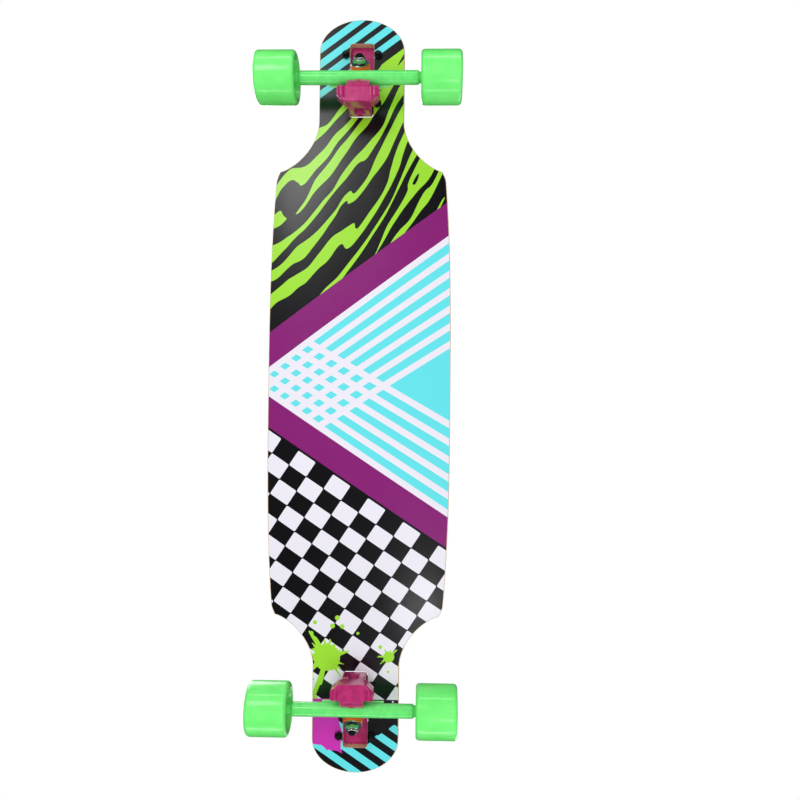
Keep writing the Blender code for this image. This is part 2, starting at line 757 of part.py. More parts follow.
def nut_mesh(flats, height, bore, collar):
    """A lock nut with its foot at zero: a hexagon below, and a round collar over its last part."""
    body = hexagon(flats, 0, height * 0.72)
    cap = rod(flats / 2 - collar, height * 0.6, height, SMALL_ROUND)
    hole = rod(bore, -OVERSHOOT, height + OVERSHOOT, SMALL_ROUND)
    return carve(body, joined=[cap], cut=[hole])


def bolt_mesh():
    """A mounting bolt hanging from zero: a domed head with a hexagonal socket, and the shank below."""
    radius = BOLT_HEAD / 2
    shank = BOLT_DIAMETER / 2
    body = turned(
        [
            (0, -BOLT_LENGTH),
            (shank, -BOLT_LENGTH),
            (shank, 0),
            (radius, 0),
            (radius, BOLT_HEAD_HEIGHT / 2),
            (radius - 0.0018, BOLT_HEAD_HEIGHT),
            (0, BOLT_HEAD_HEIGHT),
        ],
        SMALL_ROUND,
    )
    return carve(body, cut=[hexagon(BOLT_SOCKET, 0.0010, 0.0060)])


def axle_mesh():
    """The axle rod, with its ends chamfered."""
    half = TRACK / 2 - 0.0012
    radius = AXLE_DIAMETER / 2
    upper = [(radius, half - CHAMFER), (radius - CHAMFER, half), (0, half)]
    return turned([(r, -z) for r, z in reversed(upper)] + upper, SMALL_ROUND)


# ---------------------------------------------------------------- wheel


def tyre_mesh():
    """The urethane tyre about its own axis, dished on both faces down to the core."""
    radius = WHEEL_DIAMETER / 2
    half = WHEEL_WIDTH / 2
    seat = CORE_DIAMETER / 2 + GAP
    core_half = BEARING_STACK / 2
    corner = arc((radius - WHEEL_LIP, half - WHEEL_LIP), WHEEL_LIP, 90, 0, 2)
    dish = [(seat, core_half), (seat + 0.003, core_half + 0.0015), (radius - 0.0070, half)]
    upper = dish + corner
    return turned(upper + [(r, -h) for r, h in reversed(upper)], WHEEL_ROUND, closed=True)


def core_mesh():
    """The hub that the tyre is cast on, with a seat for a bearing at each end."""
    outer = CORE_DIAMETER / 2
    seat = BEARING_OUTER / 2 + GAP
    web = BEARING_OUTER / 2 - 0.0025
    half = BEARING_STACK / 2
    step = BEARING_SPACING / 2 - GAP
    upper = [(web, step), (seat, step), (seat, half), (outer, half)]
    return turned(upper + [(r, -h) for r, h in reversed(upper)], ROUND, closed=True)


def bearing_mesh():
    """A ball bearing: its races, and the shields set back between them."""
    inner = AXLE_DIAMETER / 2 + GAP
    outer = BEARING_OUTER / 2
    half = BEARING_WIDTH / 2
    upper = [(inner, half), ((inner + outer) / 2, half - 0.0006), (outer, half)]
    return turned(upper + [(r, -h) for r, h in reversed(upper)], ROUND, closed=True)


# ---------------------------------------------------------------- assembly


def build_truck(end, heading, shared, finishes):
    """One truck and its wheels. Heading is 0 for the front truck, and half a turn for the rear one."""
    side = 1 if heading == 0 else -1
    stands_at = (side * WHEELBASE / 2, 0, AXLE_HEIGHT)
    truck = frame_at(end + "_truck", location=stands_at, rotation=(0, 0, heading))
    steer_turn = (0, math.pi / 2 - PIVOT, 0)
    steer = frame_at(end + "_steer_axis", truck, RING_CENTRE, steer_turn)
    kingpin = frame_at(end + "_kingpin_axis", truck, RING_CENTRE, (0, math.pi - PIVOT, 0))

    place(end + "_baseplate", shared["baseplate"], finishes["baseplate"], truck)
    place(end + "_pivot_cup", shared["pivot_cup"], finishes["cup"], truck, RING_CENTRE, steer_turn)
    on_pin = (
        ("kingpin", "kingpin", "black_steel", 0),
        ("washer_board", "washer_board", "zinc", SEAT + GAP),
        ("bushing_board", "bushing_board", "urethane_orange", BOARD_BUSHING_FOOT - BUSHING_BOARD),
        ("bushing_road", "bushing_road", "urethane_orange", ROAD_BUSHING_FOOT),
        ("washer_road", "washer_road", "zinc", ROAD_WASHER_FOOT),
        ("kingpin_nut", "kingpin_nut", "black_steel", NUT_FOOT),
    )
    for name, shape, finish, foot in on_pin:
        place(end + "_" + name, shared[shape], finishes[finish], kingpin, (0, 0, foot))
    for number, (x, y) in enumerate(bolt_points(BOLT_SPACING_LONG), start=1):
        top = (x, y, FLANGE_TOP + GAP)
        place(f"{end}_bolt_{number}", shared["bolt"], finishes["black_steel"], truck, top)
        below = (x, y, DECK_ABOVE_AXLE - GAP)
        over = (math.pi, 0, 0)
        place(f"{end}_locknut_{number}", shared["locknut"], finishes["zinc"], truck, below, over)

    place(end + "_hanger", shared["hanger"], finishes["hanger"], steer)
    axle = frame_at(end + "_axle_axis", steer, (RAKE, 0, -RING_REACH), (-math.pi / 2, 0, 0))
    place(end + "_axle", shared["axle"], finishes["zinc"], axle)
    for hand, y in (("left", side), ("right", -side)):
        outward = (0, 0, 0) if y > 0 else (math.pi, 0, 0)
        corner = f"{end}_{hand}"
        nut_at = (0, 0, y * (WHEEL_MIDDLE + BEARING_STACK / 2 + RUNNING))
        place(corner + "_axle_nut", shared["axle_nut"], finishes["zinc"], axle, nut_at, outward)
        wheel = frame_at(corner + "_wheel_axis", axle, (0, 0, y * WHEEL_MIDDLE), outward)
        bearing_at = (BEARING_SPACING + BEARING_WIDTH) / 2
        place(corner + "_tyre", shared["tyre"], finishes["urethane_green"], wheel)
        place(corner + "_core", shared["core"], finishes["core"], wheel)
        for which, along_axle in (("inner", -bearing_at), ("outer", bearing_at)):
            here = (0, 0, along_axle)
            place(f"{corner}_bearing_{which}", shared["bearing"], finishes["zinc"], wheel, here)


def main():
    clear_scene()
    finishes = {
        "deck": finish_of("deck_maple", (0.72, 0.47, 0.27), 0.4),
        "grip": finish_of("grip_tape", (0.05, 0.047, 0.06), 0.95),
        "baseplate": finish_of("painted_magenta", (0.72, 0.04, 0.26), 0.35),
        "hanger": finish_of("painted_green", (0.10, 0.85, 0.16), 0.35),
        "urethane_green": finish_of("urethane_green", (0.12, 0.90, 0.18), 0.4),
        "urethane_orange": finish_of("urethane_orange", (0.90, 0.16, 0.01), 0.4),
        "core": finish_of("core_plastic", (0.80, 0.85, 0.80), 0.5),
        "cup": finish_of("cup_plastic", (0.03, 0.03, 0.03), 0.5),
        "zinc": finish_of("zinc_steel", (0.60, 0.60, 0.62), 0.3, 1.0),
        "black_steel": finish_of("black_steel", (0.02, 0.02, 0.02), 0.4, 0.6),
    }
    build_deck(finishes["deck"])
    build_grip(finishes["grip"])
    pin_bore = KINGPIN_DIAMETER / 2 + GAP
    axle_bore = AXLE_DIAMETER / 2 + GAP
    bolt_bore = BOLT_DIAMETER / 2 + HOLE_CLEARANCE
    kingpin_nut = nut_mesh(KINGPIN_FLATS, NUT_HEIGHT, pin_bore, NUT_COLLAR)
    axle_nut = nut_mesh(AXLE_NUT_FLATS, AXLE_NUT_HEIGHT, axle_bore, NUT_COLLAR)
    locknut = nut_mesh(LOCKNUT_FLATS, LOCKNUT_HEIGHT, bolt_bore, LOCKNUT_COLLAR)
    washer_board = ring(pin_bore, BOARD_WASHER / 2, 0, WASHER_THICKNESS)
    washer_road = ring(pin_bore, ROAD_WASHER / 2, 0, WASHER_THICKNESS)
    shared = {
        "baseplate": mesh_data("baseplate", baseplate_mesh()),
        "pivot_cup": mesh_data("pivot_cup", pivot_cup_mesh()),
        "hanger": mesh_data("hanger", hanger_mesh()),
        "axle": mesh_data("axle", axle_mesh()),
        "kingpin": mesh_data("kingpin", kingpin_mesh()),
        "kingpin_nut": mesh_data("kingpin_nut", kingpin_nut),
        "bushing_board": mesh_data("bushing_board", bushing_mesh(BUSHING_BOARD)),
        "bushing_road": mesh_data("bushing_road", bushing_mesh(BUSHING_ROAD)),
        "washer_board": mesh_data("washer_board", washer_board),
        "washer_road": mesh_data("washer_road", washer_road),
        "bolt": mesh_data("bolt", bolt_mesh()),
        "locknut": mesh_data("locknut", locknut),
        "axle_nut": mesh_data("axle_nut", axle_nut),
        "tyre": mesh_data("tyre", tyre_mesh()),
        "core": mesh_data("core", core_mesh()),
        "bearing": mesh_data("bearing", bearing_mesh()),
    }
    build_truck("front", 0, shared, finishes)
    build_truck("rear", math.pi, shared, finishes)
    bpy.context.view_layer.update()


main()
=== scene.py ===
"""A drop-through longboard with reverse-kingpin trucks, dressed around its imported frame.

Every piece takes its place and its size from the frame's nodes and joints. Lengths are in metres.
The frame has +X towards the nose, +Y to the left and +Z up, and the wheels stand on z = 0.
"""

from __future__ import annotations

import json
import logging
import math
from dataclasses import dataclass
from enum import Enum
from typing import Sequence, Union

import bmesh
import bpy
from mathutils import Matrix, Vector


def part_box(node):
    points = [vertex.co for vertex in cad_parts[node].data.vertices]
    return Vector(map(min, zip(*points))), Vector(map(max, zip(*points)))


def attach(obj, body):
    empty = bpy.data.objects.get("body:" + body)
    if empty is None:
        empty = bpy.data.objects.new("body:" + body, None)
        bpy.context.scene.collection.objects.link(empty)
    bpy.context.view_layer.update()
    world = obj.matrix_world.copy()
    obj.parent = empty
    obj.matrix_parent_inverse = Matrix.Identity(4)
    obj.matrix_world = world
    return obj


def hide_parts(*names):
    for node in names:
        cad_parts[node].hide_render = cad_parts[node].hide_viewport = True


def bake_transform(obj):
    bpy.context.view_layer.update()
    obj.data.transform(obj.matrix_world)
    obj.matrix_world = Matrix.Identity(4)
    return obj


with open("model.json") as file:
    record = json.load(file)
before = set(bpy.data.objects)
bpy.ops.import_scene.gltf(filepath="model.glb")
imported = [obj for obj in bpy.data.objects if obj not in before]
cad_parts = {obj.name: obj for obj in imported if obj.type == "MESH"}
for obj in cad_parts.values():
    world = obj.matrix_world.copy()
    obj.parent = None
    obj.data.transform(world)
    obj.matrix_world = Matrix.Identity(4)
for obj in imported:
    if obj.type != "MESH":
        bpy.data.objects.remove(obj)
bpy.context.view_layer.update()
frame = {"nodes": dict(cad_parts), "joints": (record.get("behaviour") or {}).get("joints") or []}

log = logging.getLogger("longboard")

Colour = tuple[float, float, float]
Point = tuple[float, float]
Number = Union["Sock", float]

SHARP_EDGE = math.radians(32)
HIDDEN_GAP = 0.00002  # between surfaces that would otherwise share a plane


# ------------------------------------------------------------------ shader graph


class Sock:
    """A shader socket that takes part in Python arithmetic."""

    def __init__(self, graph: "Graph", socket: bpy.types.NodeSocket) -> None:
        """Wrap one output socket.

        Args:
            graph: The material's graph, which makes the nodes.
            socket: The output that this value comes from.
        """
        self.graph = graph
        self.socket = socket

    def __add__(self, other: Number) -> "Sock":
        """This value plus another."""
        return self.graph.math("ADD", self, other)

    def __radd__(self, other: Number) -> "Sock":
        """Another value plus this one."""
        return self.graph.math("ADD", other, self)

    def __sub__(self, other: Number) -> "Sock":
        """This value less another."""
        return self.graph.math("SUBTRACT", self, other)

    def __rsub__(self, other: Number) -> "Sock":
        """Another value less this one."""
        return self.graph.math("SUBTRACT", other, self)

    def __mul__(self, other: Number) -> "Sock":
        """This value times another."""
        return self.graph.math("MULTIPLY", self, other)

    def __rmul__(self, other: Number) -> "Sock":
        """Another value times this one."""
        return self.graph.math("MULTIPLY", other, self)

    def __truediv__(self, other: Number) -> "Sock":
        """This value over another."""
        return self.graph.math("DIVIDE", self, other)

    def __gt__(self, other: Number) -> "Sock":
        """1 where this value is the greater, and 0 elsewhere."""
        return self.graph.math("GREATER_THAN", self, other)

    def __lt__(self, other: Number) -> "Sock":
        """1 where this value is the smaller, and 0 elsewhere."""
        return self.graph.math("LESS_THAN", self, other)

    def fraction(self) -> "Sock":
        """The part after the decimal point, from 0 to 1."""
        return self.graph.math("FRACT", self)

    def floor(self) -> "Sock":
        """The whole number below this value."""
        return self.graph.math("FLOOR", self)

    def size(self) -> "Sock":
        """This value without its sign."""
        return self.graph.math("ABSOLUTE", self)

    def sine(self) -> "Sock":
        """The sine of this value, in radians."""
        return self.graph.math("SINE", self)

    def power(self, exponent: float) -> "Sock":
        """This value raised to a power."""
        return self.graph.math("POWER", self, exponent)

    def larger(self, other: Number) -> "Sock":
        """The larger of this value and another."""
        return self.graph.math("MAXIMUM", self, other)

    def smaller(self, other: Number) -> "Sock":
        """The smaller of this value and another."""
        return self.graph.math("MINIMUM", self, other)

    def between(self, low: float, high: float) -> "Sock":
        """1 where this value lies between two numbers, and 0 elsewhere."""
        return (self > low) * (self < high)

    def eased(self, low: float, high: float) -> "Sock":
        """This value turned into a smooth step from 0 at low to 1 at high."""
        settings = {"interpolation_type": "SMOOTHSTEP"}
        return self.graph.node("ShaderNodeMapRange", settings, {"Value": self, "From Min": low, "From Max": high})


class Graph:
    """One material's node tree, around a Principled shader."""

    def __init__(self, name: str) -> None:
        """Start an empty material.

        Args:
            name: The material's name.
        """
        self.material = bpy.data.materials.new(name)
        self.material.use_nodes = True
        self.tree = self.material.node_tree
        self.tree.nodes.clear()
        self.shader = self.tree.nodes.new("ShaderNodeBsdfPrincipled")
        self.output = self.tree.nodes.new("ShaderNodeOutputMaterial")
        self.tree.links.new(self.shader.outputs[0], self.output.inputs["Surface"])

    def node(
        self,
        kind: str,
        settings: dict[str, object] | None = None,
        inputs: dict[str | int, object] | None = None,
        output: str | int = 0,
    ) -> Sock:
        """Add one node.

        Args:
            kind: The node's type.
            settings: The node's own properties, which are set first.
            inputs: A number, a colour or a socket for each input, by name or place.
            output: Which output to return.

        Returns:
            The chosen output.
        """
        made = self.tree.nodes.new(kind)
        for name, value in (settings or {}).items():
            setattr(made, name, value)
        for name, value in (inputs or {}).items():
            self.fill(made.inputs[name], value)
        return Sock(self, made.outputs[output])

    def fill(self, target: bpy.types.NodeSocket, value: object) -> None:
        """Link a socket to an input, or set the input's own value."""
        if isinstance(value, Sock):
            self.tree.links.new(value.socket, target)
        elif isinstance(value, tuple) and target.type == "RGBA":
            target.default_value = (*value, 1.0)
        else:
            target.default_value = value

    def math(self, operation: str, *values: Number) -> Sock:
        """One Math node."""
        return self.node("ShaderNodeMath", {"operation": operation}, dict(enumerate(values)))

    def mix(self, share: Number, first: object, second: object) -> Sock:
        """A colour that goes from the first to the second as share goes from 0 to 1."""
        inputs = {0: share, 6: first, 7: second}
        return self.node("ShaderNodeMix", {"data_type": "RGBA"}, inputs, output=2)

    def scaled(self, vector: Sock, factors: tuple[float, float, float]) -> Sock:
        """A vector with each of its parts multiplied."""
        return self.node("ShaderNodeVectorMath", {"operation": "MULTIPLY"}, {0: vector, 1: factors})

    def place(self) -> Sock:
        """The point on the surface, in the piece's own metres."""
        return self.node("ShaderNodeTexCoord", output="Object")

    def parts(self, vector: Sock) -> tuple[Sock, Sock, Sock]:
        """The three numbers of a vector."""
        split = self.tree.nodes.new("ShaderNodeSeparateXYZ")
        self.fill(split.inputs[0], vector)
        return Sock(self, split.outputs[0]), Sock(self, split.outputs[1]), Sock(self, split.outputs[2])

    def vector(self, x: Number, y: Number, z: Number = 0.0) -> Sock:
        """A vector made of three numbers."""
        return self.node("ShaderNodeCombineXYZ", None, {0: x, 1: y, 2: z})

    def noise(self, vector: Sock, scale: float, detail: float = 2.0, rough: float = 0.5) -> Sock:
        """Soft noise, mostly from 0.3 to 0.7."""
        inputs = {"Vector": vector, "Scale": scale, "Detail": detail, "Roughness": rough}
        return self.node("ShaderNodeTexNoise", None, inputs)

    def cells(self, vector: Sock, scale: float) -> Sock:
        """Distance to the nearest of many scattered points."""
        return self.node("ShaderNodeTexVoronoi", None, {"Vector": vector, "Scale": scale})

    def chance(self, value: Sock) -> Sock:
        """A number from 0 to 1 that is the same wherever the value is the same."""
        return self.node("ShaderNodeTexWhiteNoise", {"noise_dimensions": "1D"}, {"W": value})

    def attribute(self, name: str) -> Sock:
        """A number stored on the mesh."""
        return self.node("ShaderNodeAttribute", {"attribute_name": name}, output="Fac")

    def bump(self, height: Sock, distance: float, strength: float = 1.0) -> Sock:
        """A normal that follows a height, which is worth distance where it is 1."""
        inputs = {"Height": height, "Distance": distance, "Strength": strength}
        return self.node("ShaderNodeBump", None, inputs)

    def shade(self, **values: object) -> bpy.types.Material:
        """Fill the shader's sockets and return the material.

        Args:
            **values: A number, a colour or a socket for each input, named in lower case.

        Returns:
            The finished material.
        """
        for name, value in values.items():
            words = " ".join(word.capitalize() for word in name.split("_"))
            self.fill(self.shader.inputs[words], value)
        return self.material


# ------------------------------------------------------------------ finishes


@dataclass(frozen=True)
class Finish:
    """A surface that pieces can wear. Each finish is made once."""

    name: str
    slot: str

    def make(self, graph: Graph) -> bpy.types.Material:
        """Build the material's nodes."""
        raise NotImplementedError

    def material(self) -> bpy.types.Material:
        """The finished material, made at its first use."""
        found = bpy.data.materials.get(self.name)
        return found or self.make(Graph(self.name))


@dataclass(frozen=True)
class CastPaint(Finish):
    """Glossy paint on a casting, whose skin still shows a little through it."""

    colour: Colour
    deep: Colour
    roughness: float = 0.20
    skin: float = 0.00004

    def make(self, graph: Graph) -> bpy.types.Material:
        """Build the material's nodes."""
        place = graph.place()
        mottle = graph.noise(place, 120.0, 3.0)
        skin = graph.noise(place, 1100.0, 3.0, 0.6)
        colour = graph.mix(mottle.eased(0.35, 0.68), self.deep, self.colour)
        return graph.shade(
            base_color=colour,
            roughness=self.roughness + 0.10 * mottle,
            coat_weight=0.6,
            coat_roughness=0.08,
            normal=graph.bump(skin, self.skin),
        )


@dataclass(frozen=True)
class Urethane(Finish):
    """Cast urethane, a little cloudy inside and faintly marked by its mould."""

    colour: Colour
    cloud: Colour
    roughness: float = 0.30

    def make(self, graph: Graph) -> bpy.types.Material:
        """Build the material's nodes."""
        place = graph.place()
        cloud = graph.noise(place, 55.0, 2.0)
        _, _, along = graph.parts(place)
        turning = graph.noise(graph.vector(0.0, 0.0, along), 2600.0, 2.0)
        skin = graph.noise(place, 1500.0, 2.0)
        colour = graph.mix(cloud.eased(0.3, 0.72), self.cloud, self.colour)
        return graph.shade(
            base_color=colour,
            roughness=self.roughness + 0.10 * cloud + 0.05 * turning,
            coat_weight=0.6,
            coat_roughness=0.12,
            normal=graph.bump(turning * 0.6 + skin, 0.00006),
        )


@dataclass(frozen=True)
class Steel(Finish):
    """Plated or blackened steel with fine turning marks."""

    colour: Colour
    deep: Colour
    roughness: float
    metallic: float = 1.0

    def make(self, graph: Graph) -> bpy.types.Material:
        """Build the material's nodes."""
        place = graph.place()
        bloom = graph.noise(place, 260.0, 3.0, 0.6)
        lines = graph.noise(graph.scaled(place, (200.0, 200.0, 4200.0)), 1.0, 2.0)
        colour = graph.mix(bloom.eased(0.35, 0.7), self.deep, self.colour)
        return graph.shade(
            base_color=colour,
            metallic=self.metallic,
            roughness=self.roughness + 0.16 * bloom,
            normal=graph.bump(lines, 0.00003),
        )


@dataclass(frozen=True)
class Plastic(Finish):
    """Moulded plastic with a fine texture."""

    colour: Colour
    deep: Colour
    roughness: float = 0.45

    def make(self, graph: Graph) -> bpy.types.Material:
        """Build the material's nodes."""
        place = graph.place()
        mottle = graph.noise(place, 150.0, 2.0)
        texture = graph.noise(place, 2200.0, 2.0)
        return graph.shade(
            base_color=graph.mix(mottle.eased(0.3, 0.7), self.deep, self.colour),
            roughness=self.roughness + 0.14 * mottle,
            normal=graph.bump(texture, 0.00004),
        )


@dataclass(frozen=True)
class GripTape(Finish):
    """Coarse grit glued to a tape, with painted sparkle: lighter specks here and there stand for light glinting off
    the grains.
    """

    colour: Colour
    grain: Colour
    painted_sparkle: Colour

    def make(self, graph: Graph) -> bpy.types.Material:
        """Build the material's nodes."""
        place = graph.place()
        grit = graph.noise(place, 1900.0, 3.0, 0.65)
        stones = graph.cells(place, 1300.0)
        wear = graph.noise(graph.scaled(place, (7.0, 30.0, 7.0)), 1.0, 3.0)
        # Painted glints: scattered specks of the grit are lightened in the base colour, as if they caught the light.
        glint = graph.cells(place, 520.0) < 0.11
        ground = graph.mix(grit.eased(0.40, 0.70), self.colour, self.grain)
        ground = graph.mix(glint * grit.eased(0.45, 0.6), ground, self.painted_sparkle)
        return graph.shade(
            base_color=ground,
            roughness=0.80 + 0.14 * wear,
            normal=graph.bump(grit + 0.7 * stones, 0.00045),
        )


@dataclass(frozen=True)
class Veneer(Finish):
    """Lacquered bamboo in narrow strips along the deck."""

    light: Colour
    dark: Colour
    strip: float = 0.0165

    def make(self, graph: Graph) -> bpy.types.Material:
        """Build the material's nodes."""
        place = graph.place()
        _, across, _ = graph.parts(place)
        strip = (across / self.strip + 40.0).floor()
        tone = graph.chance(strip)
        shift = graph.vector(tone * 3.0, 0.0, tone)
        moved = graph.node("ShaderNodeVectorMath", {"operation": "ADD"}, {0: place, 1: shift})
        grain = graph.noise(graph.scaled(moved, (9.0, 520.0, 9.0)), 1.0, 5.0, 0.62)
        pores = graph.noise(graph.scaled(moved, (60.0, 2600.0, 60.0)), 1.0, 2.0)
        cloud = graph.noise(graph.scaled(moved, (4.0, 22.0, 4.0)), 1.0, 2.0)
        seam = ((across / self.strip + 40.0).fraction() - 0.5).size() > 0.485
        along, _, _ = graph.parts(moved)
        knot = (((along / 0.21).fraction() - 0.5).size() < 0.008) * 0.22
        dark = (0.42 * grain + 0.25 * cloud + 0.33 * tone).eased(0.26, 0.74)
        wood = graph.mix(dark, self.light, self.dark)
        brown = tuple(0.45 * part for part in self.dark)
        wood = graph.mix(pores.eased(0.58, 0.72) * 0.35 + seam * 0.18 + knot, wood, brown)
        return graph.shade(
            base_color=wood,
            roughness=0.30 + 0.22 * grain,
            coat_weight=0.35,
            coat_roughness=0.18,
            normal=graph.bump(grain + 0.5 * pores, 0.00006),
        )


@dataclass(frozen=True)
class PlyEdge(Finish):
    """The deck's cut edge: bamboo and maple plies, one above the other, with thin glue lines."""

    light: Colour
    dark: Colour
    glue: Colour
    plies: int = 7

    def make(self, graph: Graph) -> bpy.types.Material:
        """Build the material's nodes."""
        place = graph.place()
        height = graph.attribute("ply") * float(self.plies)
        layer = height.floor()
        grain = graph.noise(graph.scaled(place, (14.0, 14.0, 900.0)), 1.0, 4.0, 0.6)
        fibres = graph.noise(place, 700.0, 3.0, 0.6)
        cross = ((layer * 0.5).fraction() > 0.25) * 0.55
        tone = (cross + 0.30 * graph.chance(layer) + 0.4 * grain + 0.25 * fibres).eased(0.25, 1.15)
        line = ((height.fraction() - 0.5).size() > 0.455) * 0.75
        wood = graph.mix(line, graph.mix(tone, self.light, self.dark), self.glue)
        return graph.shade(
            base_color=wood,
            roughness=0.42 + 0.2 * grain,
            coat_weight=0.2,
            coat_roughness=0.25,
            normal=graph.bump(grain + 0.4 * fibres, 0.00008),
        )


@dataclass(frozen=True)
class PrintedFilm(Finish):
    """The glossy film on the underside: stripes, waves, crossed lines and checks between two bands."""

    black: Colour = (0.004, 0.004, 0.006)
    white: Colour = (0.81, 0.78, 0.87)
    cyan: Colour = (0.11, 0.74, 0.80)
    lime: Colour = (0.33, 0.72, 0.02)
    violet: Colour = (0.235, 0.001, 0.165)
    magenta: Colour = (0.58, 0.02, 0.43)
    front_lean: float = math.radians(36.6)  # the front band's turn from square across the deck
    rear_lean: float = math.radians(33.4)
    front_band: tuple[float, float] = (0.0949, 0.1308)  # along the line square to the band
    rear_band: tuple[float, float] = (-0.1025, -0.0692)
    nose_edge: float = 0.325  # where the waves give way to the nose's stripes
    tail_edge: float = -0.390
    line_pitch: float = 0.0198  # along the deck, where y is -60 mm
    line_spread: float = 0.0175  # how much the pitch grows for each metre to the left
    line_width: float = 0.0097
    check: tuple[float, float] = (0.0270, 0.0222)
    wave_pitch: float = 0.0360

    def lines(self, depth: Sock, y: Sock, count: int) -> Sock:
        """White lines beside a band, which spread a little as they cross the deck.

        Args:
            depth: How far a point is from the band's edge, along the deck.
            y: The point's place across the deck.
            count: How many lines there are.

        Returns:
            1 on a line and 0 off it.
        """
        pitch = (y + 0.06) * self.line_spread + self.line_pitch
        on_line = (depth / pitch).fraction() * pitch < self.line_width
        return on_line * (depth > 0.0) * (depth < pitch * (count - 1.0) + self.line_width)

    def waves(self, graph: Graph, x: Sock, y: Sock) -> Sock:
        """Flowing stripes that steepen to the left, swell, thin out and fork: 1 in the light ones."""
        level = x - y * 1.30 - y * y * 2.6
        flow = graph.noise(graph.vector(level * 8.0, y * 10.0, 0.35), 1.0, 2.0)
        swell = graph.noise(graph.vector(level * 24.0, y * 13.0, 4.1), 1.0, 2.0)
        broad = graph.noise(graph.vector(x * 11.0, y * 11.0, 1.3), 1.0, 1.0)
        turn = (level + 0.120 * flow) * (2 * math.pi / self.wave_pitch)
        return (turn.sine() + 5.2 * (swell - 0.5) + 2.2 * (broad - 0.5)) > 0.22

    def checks(self, square: Sock, along: Sock) -> Sock:
        """A checkerboard that hangs from the rear band: 1 in the white squares."""
        down = (self.rear_band[0] - 0.0028 - square) / self.check[1]
        over = (along + 0.0224) / self.check[0]
        even = (((down.floor() + over.floor()) * 0.5).fraction() < 0.25) * (down > 0.0)
        tall = (down.fraction() * 2.0 - 1.0).size().power(16.0)
        wide = (over.fraction() * 2.0 - 1.0).size().power(16.0)
        return even * (tall + wide < 0.97)

    def burst(self, graph: Graph, x: Sock, y: Sock, centre: Point, radius: float, seed: float) -> Sock:
        """A splash of paint with drops flung out of it.

        Args:
            graph: The material's graph.
            x: The point's place along the deck.
            y: The point's place across the deck.
            centre: The middle of the splash.
            radius: The radius of its body.
            seed: Which splash this is.

        Returns:
            1 in the splash and 0 outside it.
        """
        dx = x - centre[0]
        dy = y - centre[1]
        reach = graph.math("SQRT", dx * dx + dy * dy)
        ray = graph.vector(dx / reach * 2.3, dy / reach * 2.3, seed)
        spikes = graph.noise(ray, 1.0, 2.0, 0.6)
        body = reach < radius * (0.72 + 2.6 * spikes.eased(0.46, 0.80))
        drops = (graph.cells(graph.vector(x + seed, y), 80.0) < 0.25) * (reach < radius * 2.4)
        return body.larger(drops * (reach > radius * 1.3))

    def tail(self, graph: Graph, x: Sock, y: Sock, rear: Sock) -> Sock:
        """The tail's colours: stripes, with a magenta patch at one side and a black wedge at the other."""
        rough = 0.014 * graph.noise(graph.vector(x * 75.0, y * 75.0), 1.0, 3.0, 0.6)
        stripes = (rear / 0.0182 + 0.3).fraction() < 0.50
        colour = graph.mix(stripes, self.black, self.cyan)
        wedge = (y + rough > 0.004) * (x - 0.55 * y + 2.0 * rough > -0.436)
        colour = graph.mix(wedge, colour, self.black)
        patch = (y + rough < -0.010) * (x + 0.35 * y + rough > -0.458) * (y + 0.30 * (x + 0.44) < -0.014)
        colour = graph.mix(patch, colour, self.magenta)
        flake = (graph.cells(graph.vector(x, y, 0.2), 70.0) < 0.22) * (x > -0.418)
        return graph.mix(flake, colour, self.white)

    def make(self, graph: Graph) -> bpy.types.Material:
        """Build the material's nodes."""
        place = graph.place()
        x, y, _ = graph.parts(place)
        front = x * math.cos(self.front_lean) - y * math.sin(self.front_lean)
        rear = x * math.cos(self.rear_lean) + y * math.sin(self.rear_lean)
        along_rear = y * math.cos(self.rear_lean) - x * math.sin(self.rear_lean)

        # Between the bands: two sets of white lines over cyan, which cross at the right.
        depth_front = (self.front_band[0] - front) / math.cos(self.front_lean)
        depth_rear = (rear - self.rear_band[1]) / math.cos(self.rear_lean)
        crossed = self.lines(depth_front, y, 7).larger(self.lines(depth_rear, y, 6))
        colour = graph.mix(crossed, self.cyan, self.white)

        # Towards the tail: checks, two splashes, and the striped end.
        checks = graph.mix(self.checks(rear, along_rear), self.black, self.white)
        splash = self.burst(graph, x, y, (-0.338, -0.037), 0.0235, 3.1)
        splash = splash.larger(self.burst(graph, x, y, (-0.336, 0.042), 0.0095, 7.7))
        checks = graph.mix(splash, checks, self.lime)
        checks = graph.mix(x < self.tail_edge, checks, self.tail(graph, x, y, rear))
        colour = graph.mix(rear < self.rear_band[0], colour, checks)

        # Towards the nose: waves, and the striped end.
        waves = graph.mix(self.waves(graph, x, y), self.black, self.lime)
        nose = graph.mix((front / 0.0160).fraction() < 0.57, self.black, self.cyan)
        nose = graph.mix(front < self.nose_edge + 0.012, nose, self.black)
        waves = graph.mix(front > self.nose_edge, waves, nose)
        colour = graph.mix(front > self.front_band[1], colour, waves)

        rear_band = rear.between(*self.rear_band) * (front < self.front_band[1])
        colour = graph.mix(front.between(*self.front_band).larger(rear_band), colour, self.violet)

        # The film lies on the wood's grain, and its gloss isn't quite even.
        grain = graph.noise(graph.scaled(place, (10.0, 420.0, 10.0)), 1.0, 3.0)
        cloud = graph.noise(place, 26.0, 3.0)
        return graph.shade(
            base_color=colour,
            roughness=0.26 + 0.12 * cloud,
            coat_weight=0.45,
            coat_roughness=0.16,
            normal=graph.bump(grain + cloud, 0.00003),
        )


